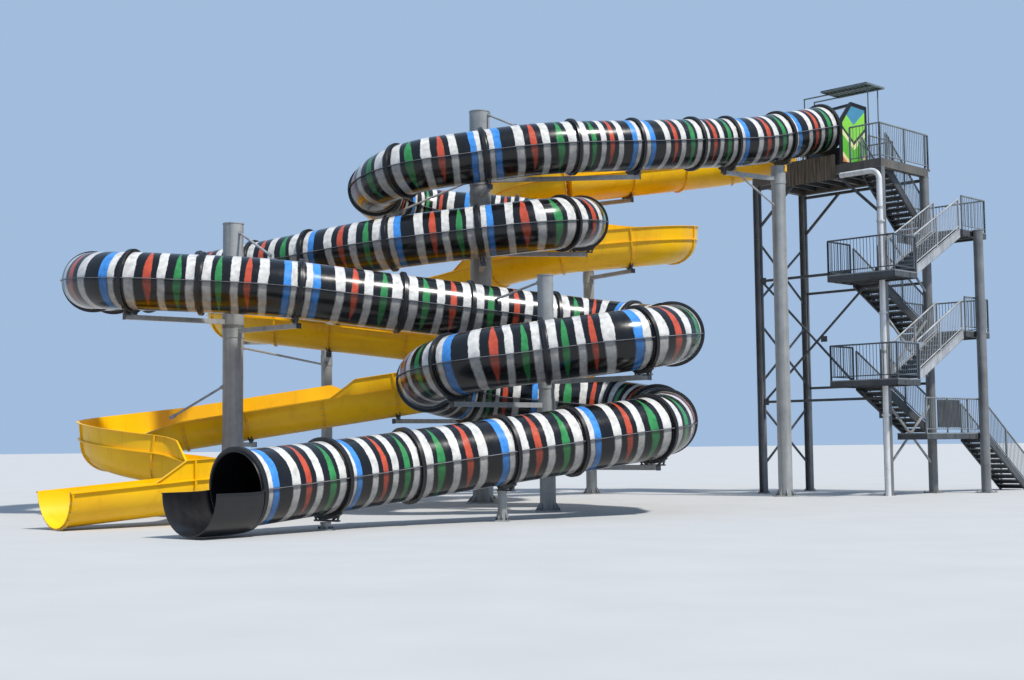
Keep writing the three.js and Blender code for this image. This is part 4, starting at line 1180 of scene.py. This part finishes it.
def tube_mesh(name, low, high):
    outer, wall, sides = 0.73, 0.02, 56
    gap = 0.0004
    stops = tube_line.stations(low + gap, high - gap, [s for s in ring_spots if low < s < high])
    points, faces, places, coats = [], [], [], []
    for d in stops:
        point, _, side, up = tube_line.frame(d)
        for radius in (outer, outer - wall):
            points += [point + side * -a + up * b for a, b in circle(radius, sides)]

    def face(coat, shares, *corners):
        faces.append([row * 2 * sides + layer * sides + k % sides for row, layer, k in corners])
        places.extend((shares[row], k / sides) for row, _, k in corners)
        coats.append(coat)

    for row in range(len(stops) - 1):
        near, far, first, last = section_of((stops[row] + stops[row + 1]) / 2)
        shares = {at: first + (last - first) * (stops[at] - near) / (far - near) for at in (row, row + 1)}
        for k in range(sides):
            face(0, shares, (row, 0, k), (row + 1, 0, k), (row + 1, 0, k + 1), (row, 0, k + 1))
            face(1, shares, (row, 1, k), (row, 1, k + 1), (row + 1, 1, k + 1), (row + 1, 1, k))
    for row in (0, len(stops) - 1):
        for k in range(sides):
            face(1, {row: 0}, (row, 0, k), (row, 0, k + 1), (row, 1, k + 1), (row, 1, k))
    mesh = bpy.data.meshes.new(name)
    mesh.from_pydata(points, [], faces)
    layer = mesh.uv_layers.new(name="skin")
    layer.data.foreach_set("uv", [value for place in places for value in place])
    for finish in (band_gelcoat, black_gelcoat):
        mesh.materials.append(finish)
    mesh.polygons.foreach_set("material_index", coats)
    return shaded(mesh, 35)


def follow(work, line, low, high, outline):
    rings = []
    for d in line.stations(low, high):
        point, _, side, up = line.frame(d)
        rings.append([point + side * a + up * b for a, b in outline])
    work.loft(rings)


seam_gap = 0.0004
# Each flange is black gelcoat, and the pale strip along its outer edge is a painted highlight
seam_strips = ((black_gelcoat, 0.722, 0.772, 0.01), (seam_highlight_strip, 0.7722, 0.777, 0.006))
for name, low, high in tube_stretches:
    set_piece(f"{name}_skin", tube_mesh(name, low, high), "black_shell", name)
    seam = Work()
    for finish, foot, rim, half in seam_strips:
        seam.use(finish)
        for way in (-1, 1):
            flange = [(way * foot, -half), (way * rim, -half), (way * rim, half), (way * foot, half)]
            follow(seam, tube_line, low + seam_gap, high - seam_gap, flange)
    set_piece(f"{name}_seams", seam.mesh("seams"), "black_shell")

# Ring joints: each section of tube ends in a black moulded flange, and the pair is bolted together
# all round. One joint is modelled, and the nodes set its bolts and then set it at each place.
def ring_mesh(radius):
    work = Work().use(black_gelcoat)
    bore, sleeve_low, sleeve_high, sides = 0.731, 0.738, 0.748, 56
    flange_near, flange_far, sleeve_flat, sleeve_end = 0.003, 0.042, 0.03, 0.075

    def round_axis(profile):
        angles = [2 * math.pi * k / sides for k in range(sides)]
        work.loft([[(r * math.cos(a), r * math.sin(a), z) for r, z in profile] for a in angles], closed=True)

    for low, high in ((-flange_far, -flange_near), (flange_near, flange_far)):
        round_axis([(bore, low), (radius, low), (radius, high), (bore, high)])
    round_axis([(bore, -sleeve_end), (sleeve_low, -sleeve_end), (sleeve_high, -sleeve_flat),
                (sleeve_high, sleeve_flat), (sleeve_low, sleeve_end), (bore, sleeve_end)])
    return work.mesh("ring joint")


def ring_tree(model):
    tree, given = new_tree("ring joints", [
        ("Bolts", "Int"), ("Bolt Circle", "Float"), ("Bolt Radius", "Float"), ("Bolt Length", "Float")])
    ring = node(tree, "GeometryNodeObjectInfo", {"Object": model}).outputs["Geometry"]
    spots = node(tree, "GeometryNodeMeshCircle",
                 {"Vertices": given.outputs["Bolts"], "Radius": given.outputs["Bolt Circle"]})
    bolt = node(tree, "GeometryNodeMeshCylinder", {
        "Vertices": 6, "Radius": given.outputs["Bolt Radius"], "Depth": given.outputs["Bolt Length"]})
    steel_bolt = node(tree, "GeometryNodeSetMaterial",
                      {"Geometry": bolt.outputs[0], "Material": dark_bolt_steel})
    bolts = node(tree, "GeometryNodeInstanceOnPoints",
                 {"Points": spots.outputs[0], "Instance": steel_bolt.outputs[0]})
    dark_ring = node(tree, "GeometryNodeSetMaterial", {"Geometry": ring, "Material": black_gelcoat})
    whole = joined(tree, dark_ring.outputs[0], bolts.outputs[0])
    along, up = (node(tree, "GeometryNodeInputNamedAttribute", {"Name": name}, data_type="FLOAT_VECTOR")
                 for name in ("along", "up"))
    turn = node(tree, "FunctionNodeAxesToRotation",
                {"Primary Axis": along.outputs[0], "Secondary Axis": up.outputs[0]},
                primary_axis="Z", secondary_axis="Y")
    set_out = node(tree, "GeometryNodeInstanceOnPoints",
                   {"Points": given.outputs["Geometry"], "Instance": whole, "Rotation": turn.outputs[0]})
    real = node(tree, "GeometryNodeRealizeInstances", {"Geometry": set_out.outputs[0]})
    node(tree, "NodeGroupOutput", {"Geometry": real.outputs[0]})
    return tree


def ring_points(distances):
    frames = [tube_line.frame(d) for d in distances]
    base = bpy.data.meshes.new("ring places")
    base.from_pydata([point for point, _, _, _ in frames], [], [])
    for name, column in (("along", 1), ("up", 3)):
        layer = base.attributes.new(name, "FLOAT_VECTOR", "POINT")
        layer.data.foreach_set("vector", [value for item in frames for value in item[column]])
    return base


def rings():
    model = bpy.data.objects.new("ring model", ring_mesh(ring_radius))
    tree = ring_tree(model)
    half = len(ring_spots) // 2
    for name, spots in (("upper_tube_rings", ring_spots[:half]), ("lower_tube_rings", ring_spots[half:])):
        mesh = run_tree(tree, ring_points(spots), {
            "Bolts": 30, "Bolt Circle": 0.779, "Bolt Radius": 0.01, "Bolt Length": 0.106})
        set_piece(name, mesh, "black_shell")
    bpy.data.objects.remove(model)


rings()


# Exit trough: an open half pipe of black gelcoat, a little wider than the tube, with edges turned out.
def exit_trough():
    point, along, _, up = tube_line.frame(tube_line.length)
    radius, wall, spread = 0.79, 0.022, 0.06
    start = point - along * 0.0037 - up * spread / 2
    bend = start + along * 0.25
    ahead = Vector((along.x, along.y, 0)).normalized()
    line = CentreLine([tuple(start), (*bend, 3), tuple(bend + ahead * 0.85)])
    sides = 28
    angles = [math.pi * (1 + k / sides) for k in range(sides + 1)]
    arc = [(math.cos(angle), math.sin(angle)) for angle in angles]
    rim = [(radius + 0.03, 0.0), (radius + 0.03, 0.016), (radius - wall, 0.016)]
    outline = [(-a, b) for a, b in rim[::-1]] + [(radius * a, radius * b) for a, b in arc] + rim
    outline += [((radius - wall) * a, (radius - wall) * b) for a, b in arc[::-1]]
    work = Work().use(black_gelcoat)
    follow(work, line, 0.0, line.length, outline)
    set_piece("exit_trough_shell", work.mesh("exit trough"), "black_shell", "exit_trough")


exit_trough()

# Open flume slide: yellow gelcoat half pipes with turned-out lips. On the outside of the bends the
# side is carried up in a wall that leans out to a rolled rim, and slopes down to the lip at its ends.
flume_cuts = [(2, 0), (4, 0), (5, 1), (8, 0), (9, 1), (10, 0), (11, 1), (12, 0), (14, 0), (15, 1)]
flume_stretches = stretches_of(flume_line, flume_cuts, "flume")
wall_step, wall_ramp, wall_rise, wall_lean = 1.6, 0.75, 0.42, 0.045
bends = flume_line.bends
left_walls = [
    (bends[1][0] - wall_step, bends[6][1] + wall_step),
    (bends[9][1] + wall_step, bends[11][1] + 3.4 * wall_step),
    (bends[13][1] + wall_step, flume_line.length - 1.2 * wall_step),
]
right_walls = [
    (-wall_ramp, bends[0][1] + wall_step),
    (bends[7][0] - wall_step, bends[9][1] + wall_step),
    (bends[12][0] - 3 * wall_step, bends[13][1] + wall_step),
]


def wall_height(walls, distance):
    least = 0.006
    for low, high in walls:
        if low < distance < high:
            share = min(1, (distance - low) / wall_ramp, (high - distance) / wall_ramp)
            return max(least, wall_rise * share)
    return least


# The cross-section at a distance, grown outwards by a margin where a rib goes round it
def flume_outline(distance, margin=0.0):
    radius, wall, lip_thick, lip = 0.73, 0.016, 0.03, 0.79
    sides = 22
    angles = [math.pi * (1 + k / sides) for k in range(sides + 1)]
    lift = -0.034
    if margin:
        outer = [((radius + margin) * math.cos(a), (radius + margin) * math.sin(a) + lift) for a in angles]
        middle = radius - wall / 2
        inner = [(middle * math.cos(a), middle * math.sin(a) + lift) for a in angles]
        return outer + inner[::-1]
    outer = [(radius * math.cos(a), radius * math.sin(a) + lift) for a in angles]
    inner = [((radius - wall) * math.cos(a), (radius - wall) * math.sin(a) + lift) for a in angles]

    def side(way, walls):
        high = wall_height(walls, distance)
        foot = radius - wall
        rim = foot + wall_lean * high / wall_rise
        points = [(lip, lift), (lip, lift + lip_thick), (foot + 0.018, lift + lip_thick),
                  (rim + 0.018, high - 0.016), (rim + 0.062, high - 0.016), (rim + 0.062, high), (rim, high)]
        return [(way * a, b) for a, b in points]

    right, left = side(1, left_walls), side(-1, right_walls)
    return left[::-1] + outer + right + inner[::-1]


def yellow_gelcoat():
    made = new_material("yellow gelcoat")
    tree = made.node_tree
    place = node(tree, "ShaderNodeTexCoord").outputs["Object"]
    cloud = node(tree, "ShaderNodeTexNoise", {"Vector": place, "Scale": 0.9, "Detail": 5})
    tone = node(tree, "ShaderNodeValToRGB", {"Fac": cloud.outputs["Fac"]})
    tone.color_ramp.elements[0].position = 0.32
    tone.color_ramp.elements[0].color = (0.80, 0.43, 0.001, 1)
    tone.color_ramp.elements[1].position = 0.68
    tone.color_ramp.elements[1].color = (0.90, 0.52, 0.0015, 1)
    stretch = node(tree, "ShaderNodeMapping", {"Vector": place, "Scale": (5, 5, 0.5)})
    run = node(tree, "ShaderNodeTexNoise", {"Vector": stretch.outputs[0], "Scale": 1.2, "Detail": 4})
    stain = node(tree, "ShaderNodeMapRange", {
        "Value": run.outputs["Fac"], "From Min": 0.55, "From Max": 0.8, "To Min": 1.0, "To Max": 0.84})
    colour = node(tree, "ShaderNodeVectorMath",
                  {0: tone.outputs["Color"], 1: stain.outputs["Result"]}, operation="MULTIPLY")
    film = node(tree, "ShaderNodeMapRange", {"Value": cloud.outputs["Fac"], "To Min": 0.2, "To Max": 0.42})
    bump = node(tree, "ShaderNodeBump", {"Height": cloud.outputs["Fac"], "Strength": 0.3, "Distance": 0.02})
    shader = node(tree, "ShaderNodeBsdfPrincipled",
                  {"Base Color": colour.outputs[0], "Roughness": film.outputs["Result"],
                   "Normal": bump.outputs[0], "Specular IOR Level": 0.35})
    return finish_material(made, shader)


flume_yellow = yellow_gelcoat()
wall_marks = [mark + step for low, high in left_walls + right_walls for mark, step in (
    (low, 0), (low, wall_ramp), (high, -wall_ramp), (high, 0))]


def flume_shell(name, low, high):
    work = Work().use(flume_yellow)
    gap = 0.0015
    rings = []
    for d in flume_line.stations(low + gap, high - gap, wall_marks):
        point, _, side, up = flume_line.frame(d)
        rings.append([point + side * a + up * b for a, b in flume_outline(d)])
    work.loft(rings)
    return work.mesh(name, smooth=50)


for name, low, high in flume_stretches:
    set_piece(f"{name}_shell", flume_shell(name, low, high), "yellow_shell", name)


# Flume joints: flanges round the outside at every section end, carried up the outside of the wall
# as a rib, with hexagon bolts that nodes set round the half pipe at each joint.
def flume_joints():
    held = [flume_line.nearest(*near) for column in slide_columns for line, _, near in column[4]
            if line is flume_line]
    ends = [end for _, _, end in flume_stretches[:-1]] + [flume_line.length - 0.05]
    fixed = [0.04]
    for place in sorted(held + ends):
        if place - fixed[-1] > 0.9:
            fixed.append(place)
        elif place in held:
            fixed[-1] = place
    places = [fixed[0]]
    for near, far in zip(fixed, fixed[1:]):
        count = max(1, round((far - near) / 2.1))
        places += [near + (far - near) * k / count for k in range(1, count + 1)]
    return places


def flume_ribs():
    work = Work().use(flume_yellow)
    margin, half, floor_gap, lowest_fin, bolt_floor = 0.05, 0.009, 0.002, 0.1, 0.02
    skin, reach, rim_depth, bolt_steps = 0.016, 0.062, 0.016, 12
    bolts = []
    for place in flume_joints():
        for offset in (-0.011, 0.011):
            rings = []
            for d in (place + offset - half, place + offset + half):
                point, _, side, up = flume_line.frame(d)
                ring = [point + side * a + up * b for a, b in flume_outline(d, margin)]
                rings.append([(x, y, max(z, floor_gap)) for x, y, z in ring])
            work.loft(rings)
            for way, walls in ((1, left_walls), (-1, right_walls)):
                high = wall_height(walls, place)
                if high < lowest_fin:
                    continue
                foot, rim = 0.714, 0.714 + wall_lean * high / wall_rise
                crest = high - rim_depth
                fin = [(foot + skin, 0.0), (foot + reach, 0.0), (rim + 0.06, crest), (rim + skin, crest)]
                rings = []
                for d in (place + offset - half, place + offset + half):
                    point, _, side, up = flume_line.frame(d)
                    rings.append([point + side * way * a + up * b for a, b in fin])
                work.loft(rings)
        point, along, side, up = flume_line.frame(place)
        for k in range(1, bolt_steps):
            angle = math.pi * (1 + k / bolt_steps)
            spot = 0.73 + margin * 0.55
            across, rise = spot * math.cos(angle), spot * math.sin(angle) - 0.034
            centre = point + side * across + up * rise
            if centre.z > bolt_floor:
                bolts.append((centre, along))
    set_piece("flume_ribs", work.mesh("flume ribs"), "yellow_shell")
    return bolts


def bolt_tree():
    tree, given = new_tree("joint bolts", [("Radius", "Float"), ("Length", "Float")])
    bolt = node(tree, "GeometryNodeMeshCylinder",
                {"Vertices": 6, "Radius": given.outputs["Radius"], "Depth": given.outputs["Length"]})
    along = node(tree, "GeometryNodeInputNamedAttribute", {"Name": "along"}, data_type="FLOAT_VECTOR")
    turn = node(tree, "FunctionNodeAlignRotationToVector", {"Vector": along.outputs[0]}, axis="Z")
    set_out = node(tree, "GeometryNodeInstanceOnPoints", {
        "Points": given.outputs["Geometry"], "Instance": bolt.outputs[0], "Rotation": turn.outputs[0]})
    return close_tree(tree, set_out.outputs[0], arm_steel)


def flume_bolts(bolts):
    base = bpy.data.meshes.new("bolt places")
    base.from_pydata([point for point, _ in bolts], [], [])
    layer = base.attributes.new("along", "FLOAT_VECTOR", "POINT")
    layer.data.foreach_set("vector", [value for _, along in bolts for value in along])
    mesh = run_tree(bolt_tree(), base, {"Radius": 0.012, "Length": 0.075})
    set_piece("flume_joint_bolts", mesh, "grey_steel")


flume_bolts(flume_ribs())


# Start booth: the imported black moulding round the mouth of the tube, with a rim round each cheek.
# Each cheek carries a plain painted panel of chevrons in greens, blue, cream and orange.
def chevron_paint():
    made = new_material("chevron panel")
    tree = made.node_tree
    skin = node(tree, "ShaderNodeUVMap", uv_map="skin")
    parts = node(tree, "ShaderNodeSeparateXYZ", {"Vector": skin.outputs[0]})
    fold = node(tree, "ShaderNodeMath", {0: parts.outputs["X"], 1: 0.5}, operation="PINGPONG")
    slope = node(tree, "ShaderNodeMath", {0: fold.outputs[0], 1: 0.55, 2: parts.outputs["Y"]},
                 operation="MULTIPLY_ADD")
    bands = node(tree, "ShaderNodeValToRGB", {"Fac": slope.outputs[0]})
    ramp = bands.color_ramp
    ramp.interpolation = "CONSTANT"
    stops = [(0.0, (0.55, 0.16, 0.04)), (0.17, (0.72, 0.62, 0.30)), (0.25, (0.10, 0.42, 0.03)),
             (0.52, (0.66, 0.70, 0.32)), (0.60, (0.03, 0.05, 0.03)), (0.66, (0.22, 0.58, 0.05)),
             (0.92, (0.05, 0.22, 0.35))]
    ramp.elements[0].color = (*stops[0][1], 1)
    ramp.elements.remove(ramp.elements[1])
    for position, colour in stops[1:]:
        ramp.elements.new(position).color = (*colour, 1)
    place = node(tree, "ShaderNodeTexCoord").outputs["Object"]
    chalk = node(tree, "ShaderNodeTexNoise", {"Vector": place, "Scale": 9, "Detail": 5})
    worn = node(tree, "ShaderNodeMapRange", {"Value": chalk.outputs["Fac"], "To Min": 0.82, "To Max": 1.12})
    colour = node(tree, "ShaderNodeVectorMath", {0: bands.outputs["Color"], 1: worn.outputs[0]},
                  operation="MULTIPLY")
    shader = node(tree, "ShaderNodeBsdfPrincipled", {"Base Color": colour.outputs[0], "Roughness": 0.45})
    return finish_material(made, shader)


def start_booth():
    mouth, along, _, _ = tube_line.frame(0)
    ahead = Vector((along.x, along.y, 0)).normalized()
    left = Vector((-ahead.y, ahead.x, 0))
    length, half = 1.2, 0.73
    base = deck_level + 0.0004 - mouth.z
    outline = [(-length, base), (0, base), (0, 0.15), (-length * 0.42, 0.78), (-length, 0.7)]

    def spot(forward, sideways, up):
        return mouth + ahead * forward + left * sideways + Vector((0, 0, up))

    coat_node("start_booth", black_gelcoat)
    work = Work().use(chevron_paint())
    middle = (-length / 2, (base + 0.5) / 2)
    shrunk = [(middle[0] + (a - middle[0]) * 0.84, middle[1] + (b - middle[1]) * 0.9) for a, b in outline]
    for way in (-1, 1):
        rings = [[spot(a, way * (half + out), b) for a, b in shrunk] for out in (0.001, 0.012)]
        work.loft(rings)
    mesh = work.mesh("booth panels")
    layer = mesh.uv_layers.new(name="skin")
    for loop in mesh.loops:
        offset = mesh.vertices[loop.vertex_index].co - mouth
        layer.data[loop.index].uv = (offset.dot(ahead) / length + 1, (offset.z - base) / (0.78 - base))
    set_piece("booth_panels", mesh, "black_shell")
    rim = Work().use(black_gelcoat)
    for way in (-1, 1):
        for (a0, b0), (a1, b1) in zip(outline[1:], outline[2:] + outline[:1]):
            rim.bar(spot(a0, way * (half - 0.02), b0), spot(a1, way * (half - 0.02), b1), oblong(0.07, 0.05))
    set_piece("booth_rims", rim.mesh("booth rims"), "black_shell")


start_booth()

for node_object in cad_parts.values():
    if not node_object.hide_render and not node_object.data.materials:
        raise SystemExit(f"{node_object.name} has no finish")

low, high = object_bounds()
